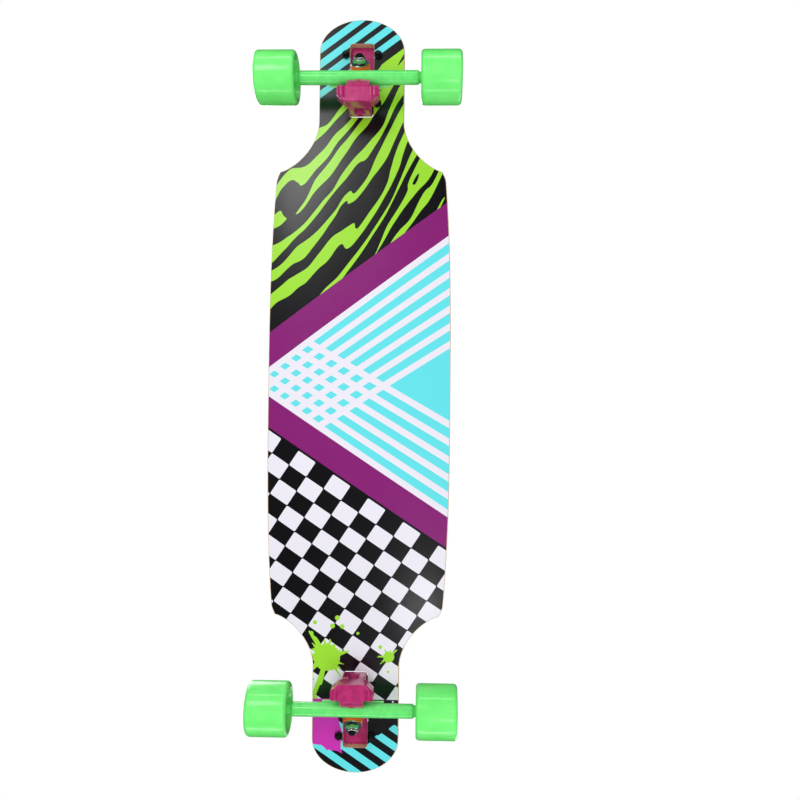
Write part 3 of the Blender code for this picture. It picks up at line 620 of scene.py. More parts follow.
class Look(Enum):
    """The finishes that the board's pieces wear."""

    BAMBOO = Veneer("bamboo_veneer", "deck_maple", (0.80, 0.585, 0.375), (0.60, 0.385, 0.205))
    PLIES = PlyEdge("ply_edge", "deck_maple", (0.74, 0.53, 0.32), (0.40, 0.22, 0.105), (0.14, 0.07, 0.035))
    FILM = PrintedFilm("printed_film", "deck_maple")
    GRIT = GripTape("grip_grit", "grip_tape", (0.020, 0.020, 0.025), (0.060, 0.060, 0.074), (0.30, 0.30, 0.34))
    MAGENTA = CastPaint("magenta_casting", "baseplate_paint", (0.50, 0.018, 0.165), (0.40, 0.012, 0.120))
    MINT = CastPaint("green_casting", "hanger_paint", (0.150, 0.84, 0.185), (0.125, 0.78, 0.160))
    GREEN_WHEEL = Urethane("green_urethane", "wheel_urethane", (0.185, 0.97, 0.200), (0.150, 0.93, 0.165))
    ORANGE = Urethane("orange_urethane", "bushing_urethane", (0.82, 0.150, 0.010), (0.66, 0.085, 0.006))
    CORE = Plastic("core_nylon", "core_plastic", (0.80, 0.84, 0.80), (0.66, 0.72, 0.67))
    CUP = Plastic("cup_nylon", "cup_plastic", (0.022, 0.022, 0.024), (0.012, 0.012, 0.013))
    SEAL = Plastic("bearing_seal", "zinc_steel", (0.016, 0.016, 0.018), (0.010, 0.010, 0.011), 0.38)
    ZINC = Steel("zinc_plate", "zinc_steel", (0.80, 0.80, 0.82), (0.62, 0.62, 0.66), 0.20)
    BLACK = Steel("black_oxide", "black_steel", (0.045, 0.045, 0.050), (0.022, 0.022, 0.026), 0.30, 0.85)
    INSERT = Plastic("nut_nylon", "black_steel", (0.70, 0.72, 0.72), (0.58, 0.60, 0.60), 0.40)


# ------------------------------------------------------------------ shapes


def arc(centre: Point, radius: float, start: float, end: float, steps: int) -> list[Point]:
    """Points on an arc.

    Args:
        centre: The arc's middle.
        radius: Its radius.
        start: Where it starts, in degrees.
        end: Where it ends, in degrees.
        steps: How many chords it has.

    Returns:
        The points, both ends included.
    """
    turns = [math.radians(start + (end - start) * i / steps) for i in range(steps + 1)]
    return [(centre[0] + radius * math.cos(t), centre[1] + radius * math.sin(t)) for t in turns]


def turned(profile: Sequence[Point], segments: int = 64, closed: bool = False) -> bmesh.types.BMesh:
    """A profile spun about Z.

    Args:
        profile: Points of (radius, height), from the foot up the outside.
        segments: How many steps go round.
        closed: True for a ring, whose profile closes on itself.

    Returns:
        The solid.
    """
    mesh = bmesh.new()
    points = [mesh.verts.new((radius, 0, height)) for radius, height in profile]
    ends = points[1:] + points[:1] if closed else points[1:]
    edges = [mesh.edges.new(pair) for pair in zip(points, ends)]
    bmesh.ops.spin(
        mesh,
        geom=points + edges,
        cent=(0, 0, 0),
        axis=(0, 0, 1),
        angle=2 * math.pi,
        steps=segments,
        use_merge=True,
    )
    bmesh.ops.remove_doubles(mesh, verts=mesh.verts, dist=1e-7)
    bmesh.ops.recalc_face_normals(mesh, faces=mesh.faces)
    return mesh


def prism(outline: Sequence[Point], low: float, high: float) -> bmesh.types.BMesh:
    """A flat outline, extruded along Z from low to high."""
    mesh = bmesh.new()
    face = mesh.faces.new([mesh.verts.new((x, y, low)) for x, y in outline])
    grown = bmesh.ops.extrude_face_region(mesh, geom=[face])
    raised = [v for v in grown["geom"] if isinstance(v, bmesh.types.BMVert)]
    bmesh.ops.translate(mesh, verts=raised, vec=(0, 0, high - low))
    bmesh.ops.recalc_face_normals(mesh, faces=mesh.faces)
    return mesh


def hexagon(flats: float, low: float, high: float) -> bmesh.types.BMesh:
    """A hexagonal bar along Z, so wide across its flats."""
    corner = flats / math.sqrt(3)
    outline = arc((0, 0), corner, 0, 300, 5)
    return prism(outline, low, high)


def moved(mesh: bmesh.types.BMesh, matrix: Matrix) -> bmesh.types.BMesh:
    """The mesh, moved by a matrix."""
    bmesh.ops.transform(mesh, matrix=matrix, verts=mesh.verts)
    return mesh


def work_object(mesh: bmesh.types.BMesh) -> bpy.types.Object:
    """An object for a shape that is still being made."""
    data = bpy.data.meshes.new("work")
    mesh.to_mesh(data)
    mesh.free()
    made = bpy.data.objects.new("work", data)
    bpy.context.scene.collection.objects.link(made)
    return made


def applied(body: bpy.types.Object, helpers: Sequence[bpy.types.Object] = ()) -> bmesh.types.BMesh:
    """What a working object looks like with its modifiers. It and its helpers are removed.

    Args:
        body: The working object.
        helpers: What its modifiers use.

    Returns:
        The finished shape.
    """
    bpy.context.view_layer.update()
    graph = bpy.context.evaluated_depsgraph_get()
    data = bpy.data.meshes.new_from_object(body.evaluated_get(graph))
    result = bmesh.new()
    result.from_mesh(data)
    bpy.data.meshes.remove(data)
    for thing in [body, *helpers]:
        old = thing.data
        bpy.data.objects.remove(thing)
        bpy.data.meshes.remove(old)
    return result


def carved(base: bmesh.types.BMesh, *steps: tuple[str, bmesh.types.BMesh]) -> bmesh.types.BMesh:
    """A shape after some Boolean steps.

    Args:
        base: The shape to start from.
        *steps: Each is the operation's name and the shape that it uses.

    Returns:
        The result.
    """
    body = work_object(base)
    helpers = []
    for operation, tool in steps:
        helpers.append(work_object(tool))
        step = body.modifiers.new(operation, "BOOLEAN")
        step.operation = operation
        step.solver = "EXACT"
        step.object = helpers[-1]
    return applied(body, helpers)


def rounded_rectangle(low: Point, high: Point, radius: float, steps: int = 6) -> list[Point]:
    """A rectangle with rounded corners.

    Args:
        low: Its lowest corner.
        high: Its highest corner.
        radius: The rounding.
        steps: Chords in each corner.

    Returns:
        The outline, anticlockwise.
    """
    centres = (
        (high[0] - radius, high[1] - radius),
        (low[0] + radius, high[1] - radius),
        (low[0] + radius, low[1] + radius),
        (high[0] - radius, low[1] + radius),
    )
    return [point for i, centre in enumerate(centres) for point in arc(centre, radius, 90 * i, 90 * i + 90, steps)]


def thread(radius: float, low: float, high: float, pitch: float, depth: float) -> list[Point]:
    """The profile of a threaded length, from low to high.

    Args:
        radius: The radius over the crests.
        low: Where the thread starts.
        high: Where it ends.
        pitch: From crest to crest.
        depth: How deep the roots lie.

    Returns:
        The points.
    """
    turns = max(int((high - low) / pitch), 1)
    points = []
    for i in range(turns):
        foot = low + (high - low) * i / turns
        points.append((radius - depth, foot))
        points.append((radius, foot + 0.42 * (high - low) / turns))
        points.append((radius, foot + 0.58 * (high - low) / turns))
    points.append((radius - depth, high))
    return points


def hex_nut(flats: float, height: float, bore: float, collar: float) -> bmesh.types.BMesh:
    """A lock nut with its foot at zero: chamfered corners, and a collar round its insert.

    Args:
        flats: The width across the flats.
        height: The whole height, of which the collar is the last quarter.
        bore: The radius of the hole.
        collar: How far the collar stands in from the flats.

    Returns:
        The nut.
    """
    corner = flats / math.sqrt(3)
    inside = flats / 2 * 0.97
    body = height * 0.74
    lean = (corner - inside) * 0.55
    blank = turned(
        [
            (bore, 0.0),
            (inside, 0.0),
            (corner + 0.0002, lean + 0.0001),
            (corner + 0.0002, body - lean - 0.0001),
            (inside, body),
            (bore, body),
        ],
        72,
        closed=True,
    )
    shaped = carved(hexagon(flats, -0.001, height), ("INTERSECT", blank))
    edge = flats / 2 - collar
    cap = turned(
        [
            (bore, body * 0.9),
            (edge, body * 0.9),
            (edge, height - 0.0006),
            (edge - 0.0002, height - 0.0002),
            (edge - 0.0007, height),
            (edge - 0.0012, height - 0.0002),
            (edge - 0.0014, height - 0.0007),
            (bore, height - 0.0007),
        ],
        48,
        closed=True,
    )
    return carved(shaped, ("UNION", cap))


@dataclass(frozen=True)
class Piece:
    """A visible piece: its name, the CAD nodes that it stands for, and what it wears."""

    name: str
    looks: tuple[Look, ...]
    stands_for: tuple[str, ...]
    sharp: float = SHARP_EDGE

    def put(self, shape: bmesh.types.BMesh, body: str, place: Matrix | None = None) -> bpy.types.Object:
        """Make the object.

        Args:
            shape: The piece in its own frame.
            body: The body that it rides.
            place: Where its frame stands. It stays at the origin without one.

        Returns:
            The object, riding its body.
        """
        made = self.loose(shape, place)
        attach(made, body)
        return made

    def bent(
        self,
        shape: bmesh.types.BMesh,
        place: Matrix,
    ) -> bpy.types.Object:
        """Make an object that rides no body, with its place baked into its mesh.

        Args:
            shape: The piece in its own frame.
            place: Where its frame stands.

        Returns:
            The object.
        """
        made = self.loose(shape, place)
        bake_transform(made)
        return made

    def loose(self, shape: bmesh.types.BMesh, place: Matrix | None) -> bpy.types.Object:
        """The object before it rides anything."""
        data = bpy.data.meshes.new(self.name)
        shape.to_mesh(data)
        shape.free()
        data.shade_smooth()
        data.set_sharp_from_angle(angle=self.sharp)
        data.materials.clear()
        for look in self.looks:
            data.materials.append(look.value.material())
        made = bpy.data.objects.new(self.name, data)
        bpy.context.scene.collection.objects.link(made)
        made.matrix_world = place or Matrix.Identity(4)
        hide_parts(*self.stands_for)
        log.info("%s: %d faces", self.name, len(data.polygons))
        return made


# ------------------------------------------------------------------ deck


@dataclass
class Deck:
    """The board itself: an outline with narrow ends, a slight concave, and a hole for each truck."""

    end_depth: float = 0.042
    neck: float = 0.055  # half widths from here
    shoulder_reach: float = 0.134
    shoulder_run: float = 0.063
    shoulder_flare: float = 0.050
    side_corner: float = 0.016
    concave: float = 0.005
    flat_middle: float = 0.017
    edge_round: float = 0.0030
    lower_round: float = 0.0012
    film: float = 0.00015
    columns: int = 36

    def __post_init__(self) -> None:
        """Take the overall sizes from the CAD deck."""
        low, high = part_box("deck")
        self.end = high.x
        self.half_width = high.y
        self.bottom = low.z
        self.thickness = 0.0115
        self.top = self.bottom + self.thickness

    def belly(self, x: float) -> float:
        """Half width of the long side, which is widest in the middle of the deck."""
        corner = self.end - self.shoulder_reach - self.shoulder_run
        narrower = self.half_width - (self.neck + self.shoulder_flare) - 0.004
        return self.half_width - narrower * (abs(x) / corner) ** 3

    def rise(self, x: float, y: float) -> float:
        """How far the concave lifts the deck at a point."""
        run = self.shoulder_run + self.side_corner
        share = min(max((self.end - self.shoulder_reach - abs(x)) / run, 0.0), 1.0)
        share = share * share * (3 - 2 * share)
        beyond = max(abs(y) - self.flat_middle, 0.0) / (self.half_width - self.flat_middle)
        return self.concave * share * beyond**2

    def quarter(self) -> list[Point]:
        """The outline's left side from the nose's tip to the middle of the deck."""
        points = []
        for i in range(22):
            turn = math.radians(90 - 4 * i)
            x = self.end - self.end_depth * (1 - math.sin(turn))
            points.append((x, self.neck * math.cos(turn)))
        start = self.end - self.shoulder_reach
        for i in range(13):
            share = i / 12
            x = self.end - self.end_depth - share * (self.shoulder_reach - self.end_depth)
            points.append((x, self.neck))
        for i in range(1, 29):
            t = i / 28
            x = start - self.shoulder_run * (1 - (1 - t) ** 1.35)
            points.append((x, self.neck + self.shoulder_flare * t**1.75))
        corner_x = start - self.shoulder_run
        corner_y = self.neck + self.shoulder_flare
        side_x = corner_x - self.side_corner
        side_y = self.belly(side_x)
        for i in range(1, 13):
            t = i / 12
            y = corner_y + (side_y - corner_y) * math.sin(t * math.pi / 2)
            points.append((corner_x - self.side_corner * t, y))
        for i in range(1, 31):
            x = side_x * (1 - i / 30)
            points.append((x, self.belly(x)))
        return points

    def outline(self, inset: float = 0.0) -> list[Point]:
        """The left side of the outline from the nose's tip to the tail's.

        Args:
            inset: How far to move it inwards.

        Returns:
            Points of (x, half width). The first and the last lie on the middle line.
        """
        front = self.quarter()
        side = front + [(-x, y) for x, y in front[-2::-1]]
        before = [(side[1][0], -side[1][1])] + side[:-1]
        after = side[1:] + [(side[-2][0], -side[-2][1])]
        points = []
        for (x, y), (ax, ay), (bx, by) in zip(side, before, after):
            out = Vector((by - ay, ax - bx)).normalized()
            points.append((x - inset * out.x, max(y - inset * out.y, 0.0)))
        return points

    def sheet(self, rim: Sequence[tuple[float, float]], edge_slot: int = 0) -> bmesh.types.BMesh:
        """A board-shaped solid that follows the concave.

        Args:
            rim: The edge's section from the underside up: how far inwards, and at what height.
            edge_slot: The material slot of the edge.

        Returns:
            The solid, with its height from the underside stored as "ply" from 0 to 1.
        """
        mesh = bmesh.new()
        ply = mesh.verts.layers.float.new("ply")
        foot = rim[0][1]
        span = rim[-1][1] - foot

        def vertex(x: float, y: float, height: float) -> bmesh.types.BMVert:
            """A vertex on the concave at a height above the flat."""
            made = mesh.verts.new((x, y, height + self.rise(x, y)))
            made[ply] = (height - foot) / span
            return made

        loops = []
        for inset, height in rim:
            side = self.outline(inset)
            left = [vertex(x, y, height) for x, y in side]
            right = [vertex(x, -y, height) for x, y in side[1:-1]]
            loops.append((left, [left[0], *right, left[-1]]))
        for low, high in zip(loops, loops[1:]):
            for a, b in zip(low, high):
                for i in range(len(a) - 1):
                    face = mesh.faces.new((a[i], a[i + 1], b[i + 1], b[i]))
                    face.material_index = edge_slot
        for (inset, height), (left, right) in ((rim[0], loops[0]), (rim[-1], loops[-1])):
            rows = []
            for a, b in zip(right, left):
                if a is b:
                    rows.append([a])
                    continue
                inner = []
                for k in range(1, self.columns):
                    share = k / self.columns
                    inner.append(vertex(a.co.x, a.co.y + (b.co.y - a.co.y) * share, height))
                rows.append([a, *inner, b])
            for first, second in zip(rows, rows[1:]):
                if len(first) == 1 or len(second) == 1:
                    lone = first[0] if len(first) == 1 else second[0]
                    fan = second if len(first) == 1 else first
                    for p, q in zip(fan, fan[1:]):
                        mesh.faces.new((lone, p, q))
                else:
                    for j in range(self.columns):
                        mesh.faces.new((first[j], second[j], second[j + 1], first[j + 1]))
        bmesh.ops.recalc_face_normals(mesh, faces=mesh.faces)
        return mesh

    def holes(self, trucks: Sequence["Truck"], margin: float = 0.0) -> list[tuple[str, bmesh.types.BMesh]]:
        """The Boolean steps that cut each truck's slot and bolt holes."""
        steps = []
        for truck in trucks:
            for shape in truck.deck_cutters(margin):
                low = Matrix.Translation((0, 0, self.bottom - truck.base.translation.z - 0.01))
                steps.append(("DIFFERENCE", moved(shape, truck.base @ low)))
        return steps

    def build(self, trucks: Sequence["Truck"]) -> None:
        """Make the wooden body and the film on its underside."""
        r = self.edge_round
        s = self.lower_round
        foot = arc((s, self.bottom + s), s, 270, 180, 4)
        brow = arc((r, self.top - r), r, 180, 90, 5)
        rim = [(inset, height) for inset, height in foot + brow]
        body = carved(self.sheet(rim, edge_slot=1), *self.holes(trucks))
        for face in body.faces:
            if abs(face.normal.z) < 0.5:
                face.material_index = 1
        Piece("deck_body", (Look.BAMBOO, Look.PLIES), ("deck",)).put(body, "board")

        low = self.bottom - self.film
        high = self.bottom - HIDDEN_GAP
        edge = [(s * 0.8, low), (s * 0.7, high)]
        film = carved(self.sheet(edge), *self.holes(trucks, 0.0002))
        self.unfold(film)
        Piece("deck_print", (Look.FILM,), ("deck",)).put(film, "board")

    def unfold(self, film: bmesh.types.BMesh) -> None:
        """Lay the film's face out in two halves, one above the other, to use the whole of its map."""
        layer = film.loops.layers.uv.new("OFBake")
        for face in film.faces:
            underneath = face.normal.z < -0.5
            towards_nose = face.calc_center_median().x > 0
            for loop in face.loops:
                x, y, _ = loop.vert.co
                u = 0.01 + 0.98 * abs(x) / self.end
                v = 0.005 + (y + self.half_width) / self.end * 0.98
                if underneath:
                    loop[layer].uv = (u, v + (0.5 if towards_nose else 0.0))
                else:
                    loop[layer].uv = (u, 0.985 + 0.01 * (y + self.half_width) / (2 * self.half_width))


@dataclass
class Grip:
    """Grit tape over the top: a wide sheet, a bare stripe of wood, and a narrow sheet."""

    deck: Deck
    lift: float = 0.00005

    def strip(self, node: str, columns: int) -> bmesh.types.BMesh:
        """One sheet, as wide and as long as its CAD node.

        Args:
            node: The CAD node.
            columns: How many steps go across it.

        Returns:
            The sheet.
        """
        low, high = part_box(node)
        inset = self.deck.half_width - max(abs(low.y), abs(high.y))
        bottom = self.deck.top + self.lift
        rows = []
        for x, side in self.deck.outline(inset):
            left = min(high.y, side)
            right = max(low.y, -side)
            if low.x < x < high.x and left - right > 0.001:
                rows.append((x, right, left))
        for x in (high.x, low.x):
            nearest = min(rows, key=lambda row: abs(row[0] - x))
            rows.insert(0 if x > 0 else len(rows), (x, nearest[1], nearest[2]))
        mesh = bmesh.new()
        levels = []
        for height in (bottom, self.deck.top + 0.0010):
            grid = []
            for x, right, left in rows:
                ys = [right + (left - right) * j / columns for j in range(columns + 1)]
                grid.append([mesh.verts.new((x, y, height + self.deck.rise(x, y))) for y in ys])
            levels.append(grid)
        under, over = levels
        for i in range(len(rows) - 1):
            for j in range(columns):
                for grid in levels:
                    mesh.faces.new((grid[i][j], grid[i + 1][j], grid[i + 1][j + 1], grid[i][j + 1]))
            for j in (0, columns):
                mesh.faces.new((under[i][j], under[i + 1][j], over[i + 1][j], over[i][j]))
        for i in (0, len(rows) - 1):
            for j in range(columns):
                mesh.faces.new((under[i][j], under[i][j + 1], over[i][j + 1], over[i][j]))
        bmesh.ops.remove_doubles(mesh, verts=mesh.verts, dist=1e-7)
        bmesh.ops.recalc_face_normals(mesh, faces=mesh.faces)
        return mesh

    def build(self, trucks: Sequence["Truck"]) -> None:
        """Make both sheets."""
        steps = []
        for truck in trucks:
            for outline in (truck.flange_outline(0.0006), truck.slot_outline(0.0006)):
                low = self.deck.top - truck.base.translation.z - 0.01
                steps.append(("DIFFERENCE", moved(prism(outline, low, low + 0.02), truck.base)))
        Piece("grip_sheet_wide", (Look.GRIT,), ("grip_wide",)).put(
            carved(self.strip("grip_wide", 26), *steps), "board"
        )
        Piece("grip_sheet_narrow", (Look.GRIT,), ("grip_narrow",)).put(self.strip("grip_narrow", 8), "board")


# ------------------------------------------------------------------ trucks


@dataclass
class Truck:
    """A reverse-kingpin truck: its casting, kingpin, bushings and hanger, and the bolts that hold it.

    Distances along the kingpin run from the middle of the hanger's ring towards the road.
    """

    end: str
    nose_radius: float = 0.00575
    cup_wall: float = 0.0022
    bar_radius: float = 0.0086
    spindle_radius: float = 0.0068
    ring_radius: float = 0.0155
    ring_thickness: float = 0.009
    kingpin_radius: float = 0.00475
    kingpin_flats: float = 0.015
    bushing_radius: float = 0.0125
    washer: float = 0.0015
    gap: float = 0.0003
    board_bushing: tuple[float, float] = (-0.0188, -0.0048)
    road_bushing: tuple[float, float] = (0.0048, 0.0168)
    nut_foot: float = 0.0189
    nut_height: float = 0.008
    cup_mouth: float = -0.0288  # along the steering axis
    nose_tip: float = -0.0363
    bolt_middle: float = 0.016
    bolt_spacing: Point = (0.0635, 0.0413)
    bolt_radius: float = 0.0024
    voxel: float = 0.0007

    def __post_init__(self) -> None:
        """Find the truck's frames from its joints."""
        joints = {joint["name"]: joint for joint in frame["joints"]}
        steer = joints[self.end + "_steer"]
        self.ring_centre = Vector(steer["pos_m"])
        self.steer_direction = Vector(steer["axis"]).normalized()
        if self.steer_direction.z < 0:
            self.steer_direction.negate()
        left = Vector(joints[self.end + "_left_wheel_spin"]["pos_m"])
        right = Vector(joints[self.end + "_right_wheel_spin"]["pos_m"])
        self.axle_centre = (left + right) / 2
        self.wheel_middle = abs(left.y - right.y) / 2
        self.heading = 0.0 if self.axle_centre.x > 0 else math.pi
        out = 1.0 if self.axle_centre.x > 0 else -1.0
        self.kingpin_direction = Vector((self.steer_direction.z * out, 0, -abs(self.steer_direction.x)))
        self.base = Matrix.Translation(self.axle_centre) @ Matrix.Rotation(self.heading, 4, "Z")
        # The side axis that completes each frame is the truck's own +Y, turned with its heading.
        side = Vector((0, out, 0))
        self.kingpin = self.frame_of(side.cross(self.kingpin_direction), side, self.kingpin_direction)
        self.steer = self.frame_of(self.kingpin_direction, side, self.steer_direction)

    def frame_of(self, x: Vector, y: Vector, z: Vector) -> Matrix:
        """A frame at the middle of the ring with these axes."""
        turn = Matrix((x, y, z)).transposed().to_4x4()
        return Matrix.Translation(self.ring_centre) @ turn

    def node(self, name: str) -> str:
        """The CAD node of this truck with a name."""
        return f"{self.end}_{name}"

    def bolt_points(self) -> list[Point]:
        """The four bolts' places in the truck's own frame, in the order of their nodes."""
        long, across = self.bolt_spacing
        return [(self.bolt_middle + i * long / 2, j * across / 2) for i in (1, -1) for j in (1, -1)]

    def slot_outline(self, margin: float = 0.0) -> list[Point]:
        """The hole in the deck that the casting goes through, in the truck's own frame."""
        return rounded_rectangle((-0.0332 - margin, -0.0155 - margin), (0.063 + margin, 0.0155 + margin), 0.004)

    def flange_outline(self, margin: float = 0.0) -> list[Point]:
        """The casting's flange from above, with straight sides."""
        right = [
            (-0.0225 - margin, -0.0275 - margin),
            (0.0443, -0.0275 - margin),
            (0.0590, -0.0155 - margin),
            (0.0670 + margin, -0.0155 - margin),
        ]
        return right + [(x, -y) for x, y in reversed(right)]

    def deck_cutters(self, margin: float) -> list[bmesh.types.BMesh]:
        """What the truck needs cut out of the deck, from zero up."""
        shapes = [prism(self.slot_outline(margin), 0.0, 0.03)]
        for x, y in self.bolt_points():
            outline = arc((x, y), self.bolt_radius + self.gap + margin, 0, 345, 23)
            shapes.append(prism(outline, 0.0, 0.03))
        return shapes

    def cast(self, node: str, extra: Sequence[bmesh.types.BMesh]) -> bmesh.types.BMesh:
        """A casting with softened edges, from its CAD node and some finer round shapes.

        Args:
            node: The CAD node.
            extra: Closed shapes in world coordinates that overlap it.

        Returns:
            One skin round them all.
        """
        whole = bmesh.new()
        whole.from_mesh(frame["nodes"][node].data)
        bmesh.ops.remove_doubles(whole, verts=whole.verts, dist=1e-6)
        for shape in extra:
            scrap = bpy.data.meshes.new("scrap")
            shape.to_mesh(scrap)
            shape.free()
            whole.from_mesh(scrap)
            bpy.data.meshes.remove(scrap)
        body = work_object(whole)
        skin = body.modifiers.new("skin", "REMESH")
        skin.mode = "VOXEL"
        skin.voxel_size = self.voxel * 1.0
        soft = body.modifiers.new("soft", "SMOOTH")
        soft.factor = 0.5
        soft.iterations = 4
        thin = body.modifiers.new("thin", "DECIMATE")
        thin.ratio = 0.35
        return applied(body)

    def build_baseplate(self) -> None:
        """Make the casting that is bolted through the deck."""
        seat = self.board_bushing[0] - self.gap - self.washer - self.gap
        boss = self.bushing_radius + 0.0024
        pin = self.kingpin_radius + self.gap
        rim = [(pin, seat - 0.008), (boss, seat - 0.008), (boss, seat), (pin, seat)]
        cup = self.nose_radius + self.gap + self.cup_wall + self.gap
        barrel = cup - self.gap + 0.0032
        tip = self.nose_tip - self.cup_wall
        sleeve = [(cup, tip), (barrel, tip), (barrel, self.cup_mouth), (cup, self.cup_mouth)]
        extra = [moved(turned(rim, 72, closed=True), self.kingpin), moved(turned(sleeve, 64, closed=True), self.steer)]
        shape = self.cast(self.node("baseplate"), extra)
        Piece(self.node("casting"), (Look.MAGENTA,), (self.node("baseplate"),), math.radians(60)).put(shape, "board")

    def build_hanger(self) -> None:
        """Make the hanger that carries the axle and steers."""
        low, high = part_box(self.node("hanger"))
        half = (high.y - low.y) / 2
        shoulder = self.wheel_middle - 0.029
        bar = turned(
            [
                (0.0043, -half),
                (self.spindle_radius, -half),
                (self.spindle_radius, -shoulder - 0.002),
                (self.bar_radius, -shoulder),
                (self.bar_radius, shoulder),
                (self.spindle_radius, shoulder + 0.002),
                (self.spindle_radius, half),
                (0.0043, half),
            ],
            64,
            closed=True,
        )
        sideways = Matrix.Translation(self.axle_centre) @ Matrix.Rotation(-math.pi / 2, 4, "X")
        ring = self.ring_radius
        face = self.ring_thickness / 2
        hole = 0.0076
        eye = turned([(hole, -face), (ring, -face), (ring, face - 0.0004), (hole, face - 0.0004)], 72, closed=True)
        nose = [(0, self.nose_tip), *arc((0, self.nose_tip + 0.0055), 0.0055, -80, 0, 8)]
        nose += [(self.nose_radius, self.cup_mouth), (0.0066, self.cup_mouth + 0.002), (0.0066, -0.022), (0, -0.022)]
        extra = [moved(eye, self.kingpin), moved(turned(nose, 48), self.steer)]
        shape = self.cast(self.node("hanger"), [moved(bar, sideways), *extra])
        Piece(self.node("yoke"), (Look.MINT,), (self.node("hanger"),), math.radians(60)).put(
            shape, self.node("hanger")
        )

    def build_pivot_cup(self) -> None:
        """Make the cup that the hanger's nose turns in."""
        inner = self.nose_radius + self.gap
        outer = inner + self.cup_wall
        floor = self.nose_tip - self.gap
        mouth = self.cup_mouth - self.gap
        low = self.nose_tip - self.cup_wall
        bowl = arc((0, floor + inner), inner, -90, 0, 8)
        lip = [(outer, mouth - 0.0006), (outer - 0.0005, mouth), (inner + 0.0005, mouth), (inner, mouth - 0.0005)]
        profile = [(0, low), (outer - 0.0006, low), (outer, low + 0.0006), *lip, *reversed(bowl)]
        Piece(self.node("cup"), (Look.CUP,), (self.node("pivot_cup"),)).put(turned(profile), "board", self.steer)

    def build_kingpin(self) -> None:
        """Make the kingpin with its hexagonal head, its nut and both washers."""
        head = -0.0312
        tip = self.nut_foot + self.nut_height + 0.002
        r = self.kingpin_radius
        shank = [(0, head - 0.001), (r, head - 0.001), (r, self.road_bushing[0])]
        shank += thread(r, self.road_bushing[0] + 0.0005, tip - 0.0008, 0.0010, 0.0004)
        shank += [(r - 0.0009, tip), (0, tip)]
        corner = self.kingpin_flats / math.sqrt(3)
        flats = self.kingpin_flats / 2
        foot = head - 0.006
        blank = turned([(0, foot), (flats * 0.9, foot), (corner + 0.0002, foot + 0.0014), (corner + 0.0002, head), (0, head)])
        cap = carved(hexagon(self.kingpin_flats, foot - 0.001, head), ("INTERSECT", blank))
        pin = carved(cap, ("UNION", turned(shank, 48)))
        Piece(self.node("pin"), (Look.BLACK,), (self.node("kingpin"),)).put(pin, "board", self.kingpin)

        nut = hex_nut(self.kingpin_flats, self.nut_height, r + 0.0001, 0.0008)
        for face in nut.faces:
            centre = face.calc_center_median()
            if centre.z > self.nut_height * 0.72 and centre.xy.length < flats - 0.0020:
                face.material_index = 1
        looks = (Look.ZINC, Look.BLACK)
        at_nut = self.kingpin @ Matrix.Translation((0, 0, self.nut_foot))
        Piece(self.node("pin_nut"), looks, (self.node("kingpin_nut"),)).put(nut, "board", at_nut)

        bore = r + self.gap
        foot = self.board_bushing[0] - self.gap - self.washer
        cupped = [(bore, 0), (0.0126, 0), (0.0130, 0.0004), (0.0130, 0.0029), (0.01265, 0.0029), (0.0125, 0.0016)]
        cupped += [(0.0122, 0.0013), (bore, 0.0013)]
        at_foot = self.kingpin @ Matrix.Translation((0, 0, foot))
        Piece(self.node("washer_cupped"), (Look.ZINC,), (self.node("washer_board"),)).put(
            turned(cupped, closed=True), "board", at_foot
        )
        flat = [(bore, 0), (0.0113, 0), (0.0116, 0.0003), (0.0116, 0.0012), (0.0113, 0.0015), (bore, 0.0015)]
        at_foot = self.kingpin @ Matrix.Translation((0, 0, self.road_bushing[1] + self.gap))
        Piece(self.node("washer_flat"), (Look.ZINC,), (self.node("washer_road"),)).put(
            turned(flat, closed=True), "board", at_foot
        )

    def build_bushings(self) -> None:
        """Make both bushings, each with its place baked into its mesh and riding no body."""
        bore = self.kingpin_radius + self.gap
        r = self.bushing_radius
        spans = {"bushing_board": self.board_bushing, "bushing_road": self.road_bushing}
        for name, (low, high) in spans.items():
            middle = (low + high) / 2
            half = (high - low) / 2
            side = []
            for i in range(9):
                share = -1 + i / 4
                side.append((r - 0.0005 * share * share, middle + share * (half - 0.0012)))
            ends = [(r - 0.0016, low), (r - 0.0008, low + 0.0004), *side, (r - 0.0008, high - 0.0004)]
            profile = [(bore, low), *ends, (r - 0.0016, high), (bore, high)]
            shape = turned(profile, 72, closed=True)
            bodies = ("board", self.node("hanger"))
            Piece(self.node(name + "_barrel"), (Look.ORANGE,), (self.node(name),)).bent(
                shape, self.kingpin
            )

    def build_bolts(self) -> None:
        """Make the mounting bolts and their lock nuts."""
        radius = 0.0046
        r = self.bolt_radius
        for number, (x, y) in enumerate(self.bolt_points(), start=1):
            node = self.node(f"bolt_{number}")
            low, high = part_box(node)
            length = high.z - low.z - 0.0028
            threads = thread(r, -length + 0.0006, -length + 0.012, 0.0008, 0.0003)
            dome = arc((radius - 0.0014, 0.0014), 0.0014, 0, 80, 6)
            shank = [(0, -length), (r - 0.0005, -length), *threads, (r, -length + 0.0123), (r, 0.0001)]
            body = turned([*shank, (radius - 0.0002, 0), (radius, 0.0002), *dome, (0, 0.0028)], 40)
            socket = carved(body, ("DIFFERENCE", hexagon(0.0030, 0.0009, 0.0060)))
            height = high.z - 0.0028 - self.base.translation.z
            place = self.base @ Matrix.Translation((x, y, height))
            Piece(node + "_screw", (Look.BLACK,), (node,)).put(socket, "board", place)

            node = self.node(f"locknut_{number}")
            low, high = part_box(node)
            nut = hex_nut(0.0095, high.z - low.z, r + 0.0001, 0.0006)
            height = high.z - self.base.translation.z
            place = self.base @ Matrix.Translation((x, y, height)) @ Matrix.Rotation(math.pi, 4, "X")
            Piece(node + "_hex", (Look.BLACK,), (node,)).put(nut, "board", place)

